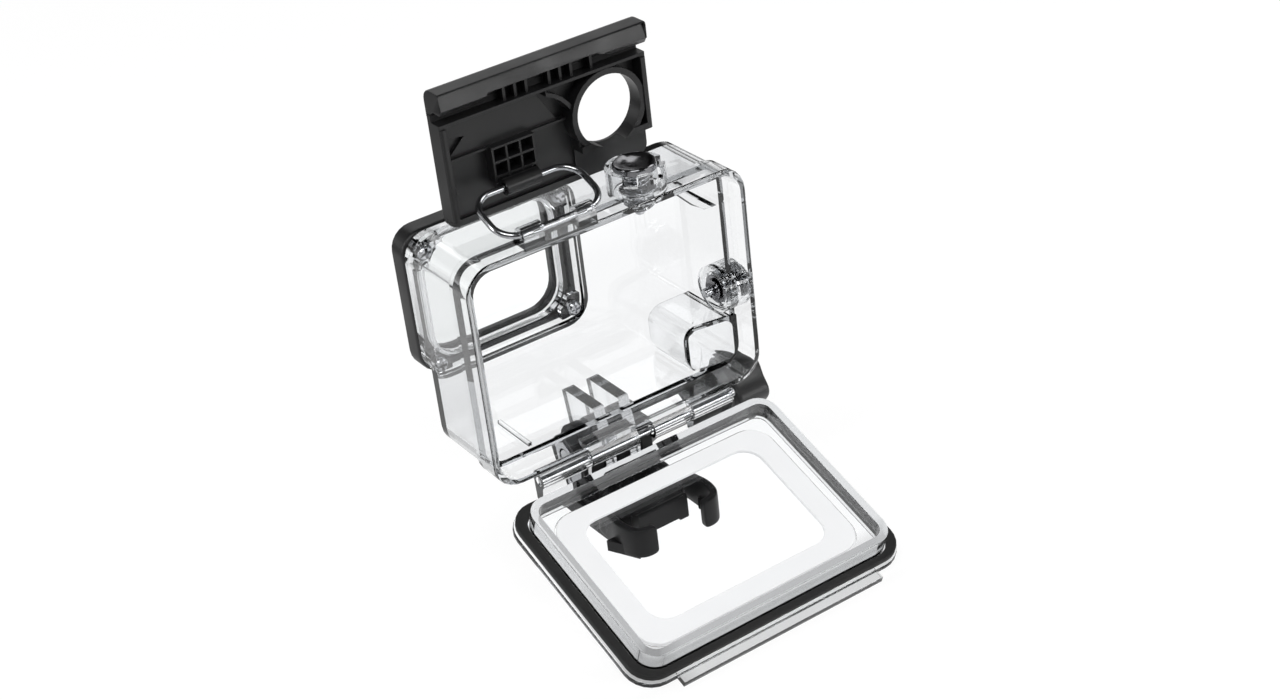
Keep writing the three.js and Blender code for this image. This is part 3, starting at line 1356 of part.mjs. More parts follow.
// The right squeeze arm, a springy strip with a barb that ends in a tall pad.
function buckleArm() {
  const rear = -BUCKLE_LENGTH / 2;
  const strip = polygon([
    [ARM_INNER, CROSS_REAR + OVERRUN],
    [ARM_INNER, ARM_BEND],
    [ARM_OUTER, ARM_BEND],
    [ARM_OUTER, CROSS_REAR + OVERRUN],
  ]);
  const pad = polygon([
    [ARM_INNER - PAD_FOOT, ARM_BEND],
    [TIP_INNER, rear],
    [TIP_OUTER, rear],
    [ARM_OUTER + PAD_FOOT, ARM_BEND],
    [ARM_OUTER, ARM_BEND + PAD_FOOT],
    [ARM_INNER, ARM_BEND + PAD_FOOT],
  ]);
  const barb = polygon([
    [ARM_INNER, ARM_BEND],
    [TIP_OUTER, rear + PAD_FOOT],
    [BARB_HALF, BARB_FRONT],
    [ARM_INNER, BARB_FRONT],
  ]);
  return join(
    alongZ(strip, 0, ARM_HEIGHT, BUCKLE_EDGE),
    alongZ(pad, 0, PAD_TALL, PAD_FOOT),
    alongZ(barb, 0, BARB_TALL, BUCKLE_EDGE / 2),
  );
}

function quickReleaseBuckle() {
  const axis = [0, AXIS_FORWARD, AXIS_HEIGHT];
  const faceLeft = -2 * FINGER_PITCH - FINGER_THICKNESS / 2;
  const arm = buckleArm();
  const nutBoss = rod("x", NUT_BOSS_RADIUS, faceLeft - NUT_BOSS, faceLeft + GAP, axis);
  const whole = join(buckleBody(), buckleFingers(), arm, arm.mirror([1, 0, 0]), nutBoss);
  return cut(
    whole,
    rod("x", SCREW_BOLT + BOLT_SPARE, faceLeft - NUT_BOSS - OVERRUN, -faceLeft + OVERRUN, axis),
    hexagon(NUT_FLATS + 2 * NUT_SPARE, faceLeft - NUT_BOSS - OVERRUN, faceLeft - GAP, axis),
  );
}

function hexagon(flats, start, end, place) {
  const radius = flats / Math.sqrt(3);
  return rod("x", radius, start, end, place, 6);
}

function hexNut() {
  const axis = [0, AXIS_FORWARD, AXIS_HEIGHT];
  const faceLeft = -2 * FINGER_PITCH - FINGER_THICKNESS / 2;
  const right = faceLeft - 2 * GAP;
  const body = hexagon(NUT_FLATS, right - NUT_THICKNESS, right, axis);
  const bore = rod("x", SCREW_BOLT + BOLT_SPARE, right - NUT_THICKNESS - OVERRUN, right + OVERRUN, axis);
  return cut(body, bore);
}

const KNOB_FACE = 2 * FINGER_PITCH + FINGER_THICKNESS / 2 + GAP;
const BOLT_LEFT = -2 * FINGER_PITCH - FINGER_THICKNESS / 2 - NUT_BOSS;

function thumbBolt() {
  const axis = [0, AXIS_FORWARD, AXIS_HEIGHT];
  return rod("x", SCREW_BOLT, BOLT_LEFT, KNOB_FACE + BOLT_IN_KNOB, axis);
}

function thumbKnob() {
  const axis = [0, AXIS_FORWARD, AXIS_HEIGHT];
  const neckEnd = KNOB_FACE + NECK_LENGTH;
  const profile = [
    [0, KNOB_FACE],
    [NECK_FRONT, KNOB_FACE],
    [NECK_REAR, KNOB_FACE + NECK_REAR],
    [NECK_REAR, neckEnd - NECK_REAR],
    [NECK_FRONT + NECK_REAR / 2, neckEnd + OVERRUN],
    [0, neckEnd + OVERRUN],
  ];
  const outline = [];
  for (let i = 0; i < KNOB_POINTS; i += 1) {
    const angle = (i / KNOB_POINTS) * 2 * Math.PI;
    const radius = KNOB_RADIUS - KNOB_SWELL / 2 + (KNOB_SWELL / 2) * Math.cos(KNOB_LOBES * angle);
    outline.push([radius * Math.cos(angle), radius * Math.sin(angle)]);
  }
  const head = alongX(polygon(outline), neckEnd, neckEnd + KNOB_LENGTH, KNOB_EDGE).translate(axis);
  const bore = rod("x", SCREW_BOLT + BOLT_SPARE, KNOB_FACE - OVERRUN, KNOB_FACE + BOLT_IN_KNOB + GAP, axis);
  return cut(turn(profile, "x", axis).add(head), bore);
}

// Assembly

const housing = new THREE.Group();
housing.position.set(-MOUNT_X, AXIS_FORWARD - MOUNT_Y, AXIS_HEIGHT + MOUNT_DROP);
housing.add(piece("front_housing", frontHousing(), clearPlastic));
housing.add(piece("lens_seal", lensSeal(), whiteSilicone));
housing.add(piece("lens_glass", lensGlass(), glass));
housing.add(piece("lens_bezel", lensBezel(), blackPlastic));
screwPlaces().forEach(([x, z], i) => {
  housing.add(piece(`bezel_screw_${i + 1}`, bezelScrew(x, z), steel));
});
housing.add(piece("hinge_pin", hingePin(), steel));

const door = new THREE.Group();
door.position.set(0, HINGE_Y, HINGE_Z);
door.rotation.x = DOOR_OPEN;
door.add(piece("rear_door", rearDoor(), clearPlastic));
door.add(piece("door_gasket", doorGasket(), blackRubber));
door.add(piece("door_inner_frame", doorInnerFrame(), whiteSilicone));
housing.add(door);

const bail = new THREE.Group();
bail.position.set(0, LUG_Y, LUG_Z);
bail.rotation.x = BAIL_RAISED;
bail.add(piece("bail_wire", bailWire(), steel));
const lever = new THREE.Group();
lever.position.set(0, BAIL_REACH, 0);
lever.rotation.x = LEVER_STANDS - BAIL_RAISED;
lever.add(piece("latch_lever", latchLever(), blackPlastic));
bail.add(lever);
housing.add(bail);

// Shutter plunger
const shutter = new THREE.Group();
shutter.position.set(SHUTTER_X, SHUTTER_Y, BODY_TOP);
const shutterWasher = GAP;
const shutterSpring = shutterWasher + WASHER_THICKNESS + GAP;
const shutterCap = shutterSpring + SHUTTER_SPRING_LENGTH + GAP;
const shutterClip = -BODY_WALL - BOSS_LENGTH - GAP;
const shutterTop = shutterCap + CAP_SOCKET - GAP;
shutter.add(piece("shutter_o_ring", oRing(-GLAND_DEPTH + GAP), blackRubber));
shutter.add(piece("shutter_washer", plungerWasher(WASHER_RADIUS, shutterWasher), steel));
const shutterCurls = spring(SPRING_RADIUS, SHUTTER_SPRING_LENGTH, SPRING_CURLS);
shutter.add(piece("shutter_spring", shutterCurls.translate([0, 0, shutterSpring]), steel));
shutter.add(piece("shutter_cap", plungerCap(CAP_RADIUS, CAP_HEIGHT, shutterCap), mirrorSteel));
shutter.add(piece("shutter_shaft", plungerShaft(shutterTop, shutterClip, SHUTTER_TAIL), steel));
shutter.add(piece("shutter_clip", retainingClip(shutterClip), mirrorSteel));
housing.add(shutter);

// Side plunger, turned so that its local Z points right
const side = new THREE.Group();
side.position.set(SIDE_WEB_OUTSIDE, SIDE_Y, SIDE_Z);
side.rotation.y = Math.PI / 2;
const sideSpring = 2 * GAP + WASHER_THICKNESS;
const sideCap = sideSpring + SIDE_SPRING_LENGTH + GAP;
const sideInside = SIDE_WEB_INSIDE - SIDE_WEB_OUTSIDE;
const sideClip = sideInside - WASHER_THICKNESS - 2 * GAP;
const sideTop = sideCap + CAP_SOCKET - GAP;
const innerWasher = sideInside - WASHER_THICKNESS - GAP;
side.add(piece("side_o_ring", oRing(-GLAND_DEPTH + GAP), blackRubber));
side.add(piece("side_outer_washer", plungerWasher(WASHER_RADIUS, GAP), steel));
side.add(piece("side_inner_washer", plungerWasher(SIDE_WASHER_RADIUS, innerWasher), mirrorSteel));
const sideCurls = spring(SPRING_RADIUS, SIDE_SPRING_LENGTH, SIDE_SPRING_CURLS);
side.add(piece("side_spring", sideCurls.translate([0, 0, sideSpring]), steel));
side.add(piece("side_button_cap", plungerCap(SIDE_CAP_RADIUS, SIDE_CAP_HEIGHT, sideCap), mirrorSteel));
side.add(piece("side_shaft", plungerShaft(sideTop, sideClip, SIDE_TAIL), steel));
side.add(piece("side_clip", retainingClip(sideClip), mirrorSteel));
housing.add(side);

const object = new THREE.Group();
object.add(piece("quick_release_buckle", quickReleaseBuckle(), blackPlastic));
object.add(piece("hex_nut", hexNut(), steel));
object.add(piece("thumb_bolt", thumbBolt(), steel));
object.add(piece("thumb_knob", thumbKnob(), blackPlastic));
object.add(housing);

export default object;
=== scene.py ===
import json
import math

import bmesh
import bpy
from mathutils import Matrix, Vector


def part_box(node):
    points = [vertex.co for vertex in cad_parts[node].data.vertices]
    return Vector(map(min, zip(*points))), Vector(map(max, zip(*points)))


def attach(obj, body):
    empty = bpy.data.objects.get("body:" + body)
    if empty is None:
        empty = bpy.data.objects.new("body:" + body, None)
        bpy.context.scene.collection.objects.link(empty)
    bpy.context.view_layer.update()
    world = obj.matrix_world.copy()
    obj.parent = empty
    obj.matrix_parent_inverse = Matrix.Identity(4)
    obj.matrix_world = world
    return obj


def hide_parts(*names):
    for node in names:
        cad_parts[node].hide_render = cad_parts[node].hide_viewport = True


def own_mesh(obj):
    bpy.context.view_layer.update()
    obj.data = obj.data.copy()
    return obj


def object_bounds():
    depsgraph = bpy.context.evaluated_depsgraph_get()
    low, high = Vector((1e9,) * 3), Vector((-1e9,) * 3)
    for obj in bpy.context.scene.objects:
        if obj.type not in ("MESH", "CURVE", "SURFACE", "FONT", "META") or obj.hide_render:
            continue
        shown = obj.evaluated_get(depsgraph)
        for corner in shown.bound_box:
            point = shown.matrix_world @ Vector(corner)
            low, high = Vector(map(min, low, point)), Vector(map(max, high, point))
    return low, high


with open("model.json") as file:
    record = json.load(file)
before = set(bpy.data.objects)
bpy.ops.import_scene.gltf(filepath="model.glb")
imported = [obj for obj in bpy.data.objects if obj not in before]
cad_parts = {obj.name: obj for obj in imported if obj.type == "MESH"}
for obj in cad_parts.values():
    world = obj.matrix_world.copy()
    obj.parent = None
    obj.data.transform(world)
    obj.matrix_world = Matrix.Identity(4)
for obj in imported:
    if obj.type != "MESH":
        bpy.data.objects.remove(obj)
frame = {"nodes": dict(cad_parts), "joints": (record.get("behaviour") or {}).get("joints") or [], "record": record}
cad_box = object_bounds()
nodes = frame["nodes"]

MM = 0.001
RIGHT = Vector((1, 0, 0))
FORWARD = Vector((0, 1, 0))
UP = Vector((0, 0, 1))
QUARTERS = ((1, 1), (-1, 1), (-1, -1), (1, -1)) # corners of an oblong, anticlockwise

# Camera, fitted to the corners of the photographed object
CAMERA_PLACE = Vector((-236.6097, -399.0666, 312.6110)) * MM
CAMERA_RIGHT = Vector((0.81516746, -0.56970874, -0.1045656))
CAMERA_DOWN = Vector((-0.36182474, -0.35987319, -0.85998497))
CAMERA_FORWARD = Vector((0.4523106, 0.73886618, -0.49949163))
PHOTO_WIDTH_PIXELS = 1280
FOCAL_PIXELS = 2222.475
SENSOR_WIDTH = 36
CLIP_START = 0.01
CLIP_END = 20

# Floor
FLOOR_HALF = 4
FLOOR_DROP = 0.6 * MM
FLOOR_COLOUR = (0.86, 0.86, 0.86)
OPEN_GLOW = 1.08 # as the camera sees it
SHADOW_SHARE = 0.3 # of the plain floor in what the camera sees, which holds the shadow
NEAR_GLOW = 1.1 # painted glow beside the object, in reflections and through clear pieces
FAR_GLOW = 0.06 # away from it
NEAR_RADIUS = 0.14
FAR_RADIUS = 0.42
CLEAR_NEAR_RADIUS = 0.3 # the same two, for what clear pieces show
CLEAR_FAR_RADIUS = 0.75
# Painted light and shade on the floor, in reflections and through clear pieces: it is brightest under the open
# door, a painted pool of light, inside a darker band of painted shade. Glow at the start and end of a span of X or
# Y
PAINTED_DOOR_POOL = [
    ("X", 0.66, 1, -0.032, -0.024),
    ("Y", 0.66, 1, -0.052, -0.044),
    ("Y", 1.515, 1, -0.11, -0.09),
    ("Y", 1.13, 1, 0.012, 0.035),
]

# World
WORLD_LIGHT = 0.55
WORLD_DARK = 0.03
WORLD_BRIGHT = 1
WORLD_OPEN = 1 # as the camera sees it
HORIZON_SHARE = 0.12 # height at which the backdrop starts to fade, in reflections
CEILING_SHARE = 0.4
BACKDROP_START_SHARE = -0.1 # how far to the front the backdrop reaches round, in reflections
BACKDROP_END_SHARE = 0.45
CLEAR_FRONT_SHARE = 0.7 # of the backdrop's light that clear pieces show to the front as well

# Each lamp: where it stands, its two sides and its power
LAMPS = {
    "key": (Vector((-0.5, -0.75, 1.15)), 0.8, 0.5, 7),
    "left_strip": (Vector((-0.95, 0.25, 0.5)), 0.25, 0.9, 3.5),
    "right_fill": (Vector((1.05, -0.35, 0.75)), 0.5, 0.7, 3),
    "front_rim": (Vector((0.35, 1.1, 0.85)), 0.8, 0.3, 1.2),
    "low_right": (Vector((0.62, -1.05, 0.24)), 0.6, 0.3, 3),
}
LAMP_TARGET = Vector((0, -0.01, 0.05))

# Clear looks: smudges change the roughness, waves change the surface by a depth and a strength,
# and the inside takes light away by a density and a tint
CLEAR_LOOKS = {
    "clear_polycarbonate": {
        "colour": (0.985, 0.99, 0.995),
        "refraction": 1.58,
        "smudge": {"size": 14 * MM, "detail": 5},
        "roughness": (0, 0.0035),
        "wave": {"size": 9 * MM, "detail": 2},
        "relief": (0.05 * MM, 0.2),
        "density": 60,
        "tint": (0.3, 0.32, 0.34),
    },
    "port_glass": {
        "colour": (0.975, 0.992, 0.988),
        "refraction": 1.5,
        "smudge": {"size": 8 * MM, "detail": 5},
        "roughness": (0, 0.02),
    },
}

# Other looks: clouds change the colour and the roughness, and grain changes the surface
PLASTIC = {
    "colours": ((0.0035, 0.0035, 0.004), (0.007, 0.007, 0.0075)),
    "cloud": {"size": 10 * MM, "detail": 6},
    "roughness": (0.34, 0.46),
    "grain": {"size": 0.25 * MM, "detail": 3},
    "relief": (0.02 * MM, 0.35),
}
METAL = {
    "fixed": {"Metallic": 1},
    "cloud": {"size": 2 * MM, "detail": 6},
    "relief": (0.005 * MM, 0.2),
}
OTHER_LOOKS = {
    "satin_black_plastic": {**PLASTIC, "fixed": {"Specular IOR Level": 0.6}},
    "deep_black_plastic": {**PLASTIC, "fixed": {"Specular IOR Level": 0.22}},
    "black_rubber": {
        "fixed": {"Specular IOR Level": 0.35},
        "colours": ((0.007, 0.007, 0.007), (0.016, 0.016, 0.016)),
        "cloud": {"size": 3 * MM, "detail": 8, "roughness": 0.7},
        "roughness": (0.5, 0.68),
        "grain": {"size": 0.4 * MM},
        "relief": (0.02 * MM, 0.4),
    },
    "white_frame": {
        "fixed": {},
        "colours": ((0.795, 0.802, 0.815), (0.835, 0.842, 0.85)),
        "cloud": {"size": 12 * MM, "detail": 5},
        "roughness": (0.42, 0.55),
        "grain": {"size": 0.3 * MM},
        "relief": (0.01 * MM, 0.3),
    },
    "steel": {
        **METAL,
        "colours": ((0.5, 0.51, 0.53), (0.6, 0.61, 0.63)),
        "roughness": (0.14, 0.24),
        "grain": {"size": 0.3 * MM, "detail": 2},
    },
    "mirror_steel": {
        **METAL,
        "colours": ((0.2, 0.2, 0.21), (0.27, 0.27, 0.28)),
        "roughness": (0.1, 0.16),
        "grain": {"size": 1 * MM, "detail": 2},
    },
}

# Noise, where a look says nothing else, and the span of its values that is used
NOISE_DETAIL = 4
NOISE_ROUGHNESS = 0.5
NOISE_START = 0.3
NOISE_END = 0.7

# Sockets of a Mix node: factor, first value, second value and result
MIX_SOCKETS = {"FLOAT": (0, 2, 3, 0), "RGBA": (0, 6, 7, 2)}

# Rounding of the edges of moulded and turned pieces
WELD = 0.002 * MM
FLAT_ANGLE = math.radians(0.5)
EDGE_ANGLE = math.radians(32)
SHARP_ANGLE = math.radians(40)
EDGE_SEGMENTS = 2
HARDEN_WEIGHT = 50
AIR = 0.04 * MM # round each piece but the two that the others sit in
CLEAR_NODES = ("front_housing", "rear_door")
CLEAR_EDGE = 0.25 * MM
LEVER_EDGE = 0.24 * MM
SOFT_EDGE = 0.3 * MM
SEAL_EDGE = 0.24 * MM
FINE_EDGE = 0.12 * MM
SCREWS = 4
# The pieces that are only rounded
ROUNDED_NODES = [
    (SOFT_EDGE, ("lens_bezel", "thumb_knob")),
    (SEAL_EDGE, ("door_gasket", "door_inner_frame", "lens_seal")),
    (FINE_EDGE, ("shutter_cap", "side_button_cap", "shutter_clip", "side_clip")),
    (FINE_EDGE, ("shutter_washer", "side_outer_washer", "side_inner_washer")),
    (FINE_EDGE, ("shutter_shaft", "side_shaft", "hinge_pin", "thumb_bolt", "hex_nut")),
    (FINE_EDGE, ("shutter_o_ring", "side_o_ring")),
    (FINE_EDGE, [f"bezel_screw_{i + 1}" for i in range(SCREWS)]),
]

# The camera pad in the cavity's corner is hollow, so that it shows as thin walls
PAD_CORE_LOW = Vector((22.7, -0.1, 29.7)) * MM
PAD_CORE_HIGH = Vector((34.9, 17, 40.8)) * MM
PAD_CORE_SWEEP = 2 * MM
PAD_CORE_RADIUS = 2.2 * MM
PAD_CORE_STEPS = 12

# The rear face of the lever's hook leans
HOOK_HEIGHT = 5.6 * MM
HOOK_LEAN = 1.7 * MM
HOOK_SKIN = 0.8 * MM

# The buckle's finger tabs curl inward behind the springy arms. Each station of a tab's middle
# line, right-hand side, in mm: x, y, lower and upper edge
TAB_STATIONS = [
    (12.5, -4.5, 1.6, 4.4),
    (12.5, -6.5, 0.9, 7.4),
    (12.5, -9, 0.6, 8.1),
    (12.6, -11.2, 0.4, 8.3),
    (12.9, -13.2, 0.3, 8.35),
    (12.9, -15.2, 0.3, 8.4),
    (12.6, -17.3, 0.3, 8.4),
    (11.9, -19.2, 0.3, 8.4),
    (10.6, -20.4, 0.3, 8.4),
    (8.9, -20.7, 0.3, 8.4),
    (7.5, -20.7, 0.5, 8.2),
    (6.9, -20.7, 1, 7.8),
]
TAB_HALF = 1.05 * MM
TAB_ROUND = 0.6 * MM
TAB_STEPS = 3
TAB_LEVELS = 2
# Room for the tabs, taken out of the plain ones: lowest and highest corner in mm
TAB_ROOMS = [
    ((7.6, -23, 3.25), (17, -11.85, 10)),
    ((-17, -23, 3.25), (-7.6, -11.85, 10)),
    ((-11.6, -23, -1), (11.6, -14.05, 10)),
    ((-17, -23, -1), (17, -20.1, 10)),
    ((7.6, -14.1, -1), (11.6, -13.3, 10)),
    ((-11.6, -14.1, -1), (-7.6, -13.3, 10)),
]

# Bail, a round wire in a closed loop between the axes of the lugs and of the lever
BAIL_WIRE = 0.8 * MM
BAIL_CORNER = 5.5 * MM
BAIL_STEPS = 14
BAIL_SIDES = 24

# Return springs, as in the part
COIL_RADIUS = 2.7 * MM
COIL_WIRE = 0.25 * MM
COIL_STEPS = 24
COIL_SIDES = 8
# Each spring: its joint, its axis, the side where its wire starts, its turns and the travel of
# its button
SPRINGS = {
    "shutter_spring": ("shutter_press", UP, RIGHT, 3, 1.5 * MM),
    "side_spring": ("side_press", RIGHT, FORWARD, 2, 1.2 * MM),
}


# Shader nodes


def new_material(name):
    material = bpy.data.materials.new(name)
    material.use_nodes = True
    tree = material.node_tree
    shader = tree.nodes["Principled BSDF"]
    return material, tree, shader


def feed(tree, value, socket):
    """Puts a node's output, or else a fixed value, into a socket."""
    if isinstance(value, bpy.types.NodeSocket):
        tree.links.new(value, socket)
    else:
        socket.default_value = value


def add_node(tree, kind, inputs=None, **settings):
    node = tree.nodes.new(kind)
    for key, value in settings.items():
        setattr(node, key, value)
    for key, value in (inputs or {}).items():
        feed(tree, value, node.inputs[key])
    return node


def object_place(tree):
    return add_node(tree, "ShaderNodeTexCoord").outputs["Object"]


def noise(tree, place, size, detail=NOISE_DETAIL, roughness=NOISE_ROUGHNESS):
    """Noise whose features are about that many metres across."""
    inputs = {"Vector": place, "Scale": 1 / size, "Detail": detail, "Roughness": roughness}
    return add_node(tree, "ShaderNodeTexNoise", inputs).outputs["Fac"]


def spread(tree, value, low, high, start=NOISE_START, end=NOISE_END):
    """The value's span from start to end, mapped to low and high."""
    inputs = {"Value": value, "From Min": start, "From Max": end, "To Min": low, "To Max": high}
    return add_node(tree, "ShaderNodeMapRange", inputs).outputs["Result"]


def mix(tree, kind, factor, first, second):
    """Two numbers or colours: the first at factor 0, the second at factor 1."""
    *sockets, result = MIX_SOCKETS[kind]
    inputs = dict(zip(sockets, (factor, first, second)))
    return add_node(tree, "ShaderNodeMix", inputs, data_type=kind).outputs[result]


def compute(tree, operation, first, second):
    inputs = {0: first, 1: second}
    return add_node(tree, "ShaderNodeMath", inputs, operation=operation).outputs[0]


def bump(tree, shader, height, distance, strength):
    inputs = {"Height": height, "Distance": distance, "Strength": strength}
    node = add_node(tree, "ShaderNodeBump", inputs)
    tree.links.new(node.outputs["Normal"], shader.inputs["Normal"])


# Materials


def clear_look(name):
    look = CLEAR_LOOKS[name]
    material, tree, shader = new_material(name)
    place = object_place(tree)
    shader.inputs["Base Color"].default_value = (*look["colour"], 1)
    shader.inputs["Transmission Weight"].default_value = 1
    shader.inputs["IOR"].default_value = look["refraction"]
    smudge = noise(tree, place, **look["smudge"])
    tree.links.new(spread(tree, smudge, *look["roughness"]), shader.inputs["Roughness"])
    if "wave" in look:
        bump(tree, shader, noise(tree, place, **look["wave"]), *look["relief"])
    if "density" in look:
        inputs = {"Density": look["density"], "Color": (*look["tint"], 1)}
        inside = add_node(tree, "ShaderNodeVolumeAbsorption", inputs)
        tree.links.new(inside.outputs[0], tree.nodes["Material Output"].inputs["Volume"])
    return material


def other_look(name):
    look = OTHER_LOOKS[name]
    material, tree, shader = new_material(name)
    for key, value in look["fixed"].items():
        shader.inputs[key].default_value = value
    place = object_place(tree)
    cloud = noise(tree, place, **look["cloud"])
    first, second = look["colours"]
    colour = mix(tree, "RGBA", cloud, (*first, 1), (*second, 1))
    tree.links.new(colour, shader.inputs["Base Color"])
    tree.links.new(spread(tree, cloud, *look["roughness"]), shader.inputs["Roughness"])
    bump(tree, shader, noise(tree, place, **look["grain"]), *look["relief"])
    return material


looks = {
    "clear_plastic": clear_look("clear_polycarbonate"),
    "glass": clear_look("port_glass"),
    "black_plastic": other_look("satin_black_plastic"),
    "black_rubber": other_look("black_rubber"),
    "white_silicone": other_look("white_frame"),
    "steel": other_look("steel"),
    "mirror_steel": other_look("mirror_steel"),
}
deep_black = other_look("deep_black_plastic")
slots = {entry["node"]: entry["material_slot"] for entry in frame["record"]["subparts"]}
bodies = {}
for body, members in frame["record"]["behaviour"]["bodies"].items():
    for member in members:
        bodies[member] = body


def dress(piece, slot):
    """The look of a record slot, on a piece of the scene or of the part."""
    piece.data.materials.clear()
    piece.data.materials.append(looks[slot])


for name, node in nodes.items():
    dress(node, slots[name])


# Shapes


def put(name, data):
    """A new object in the scene."""
    thing = bpy.data.objects.new(name, data)
    bpy.context.scene.collection.objects.link(thing)
    return thing


def add_piece(name, mesh, node):
    """A new piece that rides with a node of the part, has its look and stands for it."""
    piece = put(name, mesh)
    dress(piece, slots[node])
    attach(piece, bodies[node])
    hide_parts(node)
    return piece


def clean_copy(node):
    """The node's mesh with its vertices welded and its flat faces whole."""
    shape = bmesh.new()
    shape.from_mesh(nodes[node].data)
    bmesh.ops.remove_doubles(shape, verts=shape.verts, dist=WELD)
    bmesh.ops.dissolve_limit(
        shape,
        angle_limit=FLAT_ANGLE,
        verts=shape.verts,
        edges=shape.edges,
    )
    mesh = bpy.data.meshes.new(node + "_shape")
    shape.to_mesh(mesh)
    shape.free()
    return mesh


def shape_mesh(shape, name, inward=False):
    """The shape as a mesh whose faces look outward, or inward round a void."""
    bmesh.ops.recalc_face_normals(shape, faces=shape.faces)
    if inward:
        bmesh.ops.reverse_faces(shape, faces=shape.faces)
    mesh = bpy.data.meshes.new(name)
    shape.to_mesh(mesh)
    shape.free()
    return mesh


def loft(shape, rings, closed=False):
    """A skin over rings of equally many points, capped at its ends or closed on itself."""
    rows = [[shape.verts.new(point) for point in ring] for ring in rings]
    pairs = list(zip(rows, rows[1:]))
    if closed:
        pairs.append((rows[-1], rows[0]))
    else:
        shape.faces.new(rows[0])
        shape.faces.new(reversed(rows[-1]))
    for first, second in pairs:
        for j in range(len(first)):
            after = (j + 1) % len(first)
            shape.faces.new((first[j], first[after], second[after], second[j]))


def round_ring(point, outward, side, radius, sides):
    angles = [2 * math.pi * j / sides for j in range(sides)]
    return [point + (outward * math.cos(t) + side * math.sin(t)) * radius for t in angles]


def rounded_corners(steps):
    """For each point of a rounded oblong, the signs of its corner and the angle round that."""
    for quarter, (across, rise) in enumerate(QUARTERS):
        for i in range(steps + 1):
            yield across, rise, (quarter + i / steps) * math.pi / 2


def heading(points, i):
    """The way that a line of points runs at one of them."""
    return (points[min(i + 1, len(points) - 1)] - points[max(i - 1, 0)]).normalized()


def add_mesh(piece, mesh):
    """Puts a mesh into the piece's own."""
    whole = bmesh.new()
    whole.from_mesh(piece.data)
    whole.from_mesh(mesh)
    whole.to_mesh(piece.data)
    whole.free()


def apply_modifiers(piece):
    graph = bpy.context.evaluated_depsgraph_get()
    mesh = bpy.data.meshes.new_from_object(piece.evaluated_get(graph))
    piece.modifiers.clear()
    piece.data = mesh


def carve(piece, shape):
    """Takes a closed shape out of the piece."""
    tool = put("tool", shape_mesh(shape, "tool"))
    cut = piece.modifiers.new("cut", "BOOLEAN")
    cut.object = tool
    cut.operation = "DIFFERENCE"
    cut.solver = "EXACT"
    apply_modifiers(piece)
    bpy.data.objects.remove(tool)


def draw_in(piece, depth):
    """Leaves a hair of air round a piece, so that it doesn't share a face with clear plastic."""
    shape = bmesh.new()
    shape.from_mesh(piece.data)
    shape.normal_update()
    for vertex in shape.verts:
        vertex.co -= vertex.normal * depth
    shape.to_mesh(piece.data)
    shape.free()


def rounded(node, edge, tools=()):
    """The node with its edges rounded, as a mould or a lathe leaves them."""
    piece = add_piece(node + "_rounded", clean_copy(node), node)
    for tool in tools:
        carve(piece, tool)
    bevel = piece.modifiers.new("edges", "BEVEL")
    bevel.width = edge
    bevel.segments = EDGE_SEGMENTS
    bevel.limit_method = "ANGLE"
    bevel.angle_limit = EDGE_ANGLE
    bevel.use_clamp_overlap = True
    apply_modifiers(piece)
    if node not in CLEAR_NODES:
        draw_in(piece, AIR)
    piece.data.shade_smooth()
    piece.data.set_sharp_from_angle(angle=SHARP_ANGLE)
    normals = piece.modifiers.new("normals", "WEIGHTED_NORMAL")
    normals.weight = HARDEN_WEIGHT
    normals.keep_sharp = True
    apply_modifiers(piece)
    return piece


def hollow_pad(piece):
    low, high, radius = PAD_CORE_LOW, PAD_CORE_HIGH, PAD_CORE_RADIUS
    middle = (low + high) / 2
    outline = []
    for across, rise, angle in rounded_corners(PAD_CORE_STEPS):
        x = middle.x + across * (middle.x - low.x - radius)
        z = middle.z + rise * (middle.z - low.z - radius)
        outline.append((x + radius * math.cos(angle), z + radius * math.sin(angle)))
    slope = PAD_CORE_SWEEP / (high.x - low.x)
    rear = [Vector((x, low.y + (high.x - x) * slope, z)) for x, z in outline]
    front = [Vector((x, high.y, z)) for x, z in outline]
    core = bmesh.new()
    loft(core, [rear, front])
    mesh = shape_mesh(core, "core", inward=True)
    mesh.shade_smooth()
    mesh.set_sharp_from_angle(angle=SHARP_ANGLE)
    add_mesh(piece, mesh)


def tilt_hook(piece):
    low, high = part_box("latch_lever")
    for vertex in piece.data.vertices:
        rise = vertex.co.z - (high.z - HOOK_HEIGHT)
        if rise > 0 and vertex.co.y < low.y + HOOK_SKIN:
            vertex.co.y += HOOK_LEAN * rise / HOOK_HEIGHT


def block(low, high):
    corners = [(low[0], low[1]), (high[0], low[1]), (high[0], high[1]), (low[0], high[1])]
    shape = bmesh.new()
    loft(shape, [[Vector((x, y, z)) * MM for x, y in corners] for z in (low[2], high[2])])
    return shape


def tab_ring(place, ahead, bottom, top):
    """An upright section with rounded corners."""
    outward = Vector((ahead.y, -ahead.x, 0))
    ring = []
    for across, rise, angle in rounded_corners(TAB_STEPS):
        wide = across * (TAB_HALF - TAB_ROUND) + TAB_ROUND * math.cos(angle)
        height = top - TAB_ROUND if rise > 0 else bottom + TAB_ROUND
        ring.append(place + outward * wide + UP * (height + TAB_ROUND * math.sin(angle)))
    return ring


def add_finger_tabs(piece):
    tabs = bmesh.new()
    for side in (1, -1):
        spots = [Vector((side * x, y, 0)) * MM for x, y, _, _ in TAB_STATIONS]
        rings = []
        for i, (_, _, bottom, top) in enumerate(TAB_STATIONS):
            rings.append(tab_ring(spots[i], heading(spots, i), bottom * MM, top * MM))
        loft(tabs, rings)
    extra = put("tabs", shape_mesh(tabs, "tabs"))
    smoother = extra.modifiers.new("smooth", "SUBSURF")
    smoother.levels = TAB_LEVELS
    apply_modifiers(extra)
    extra.data.shade_smooth()
    add_mesh(piece, extra.data)
    bpy.data.objects.remove(extra)


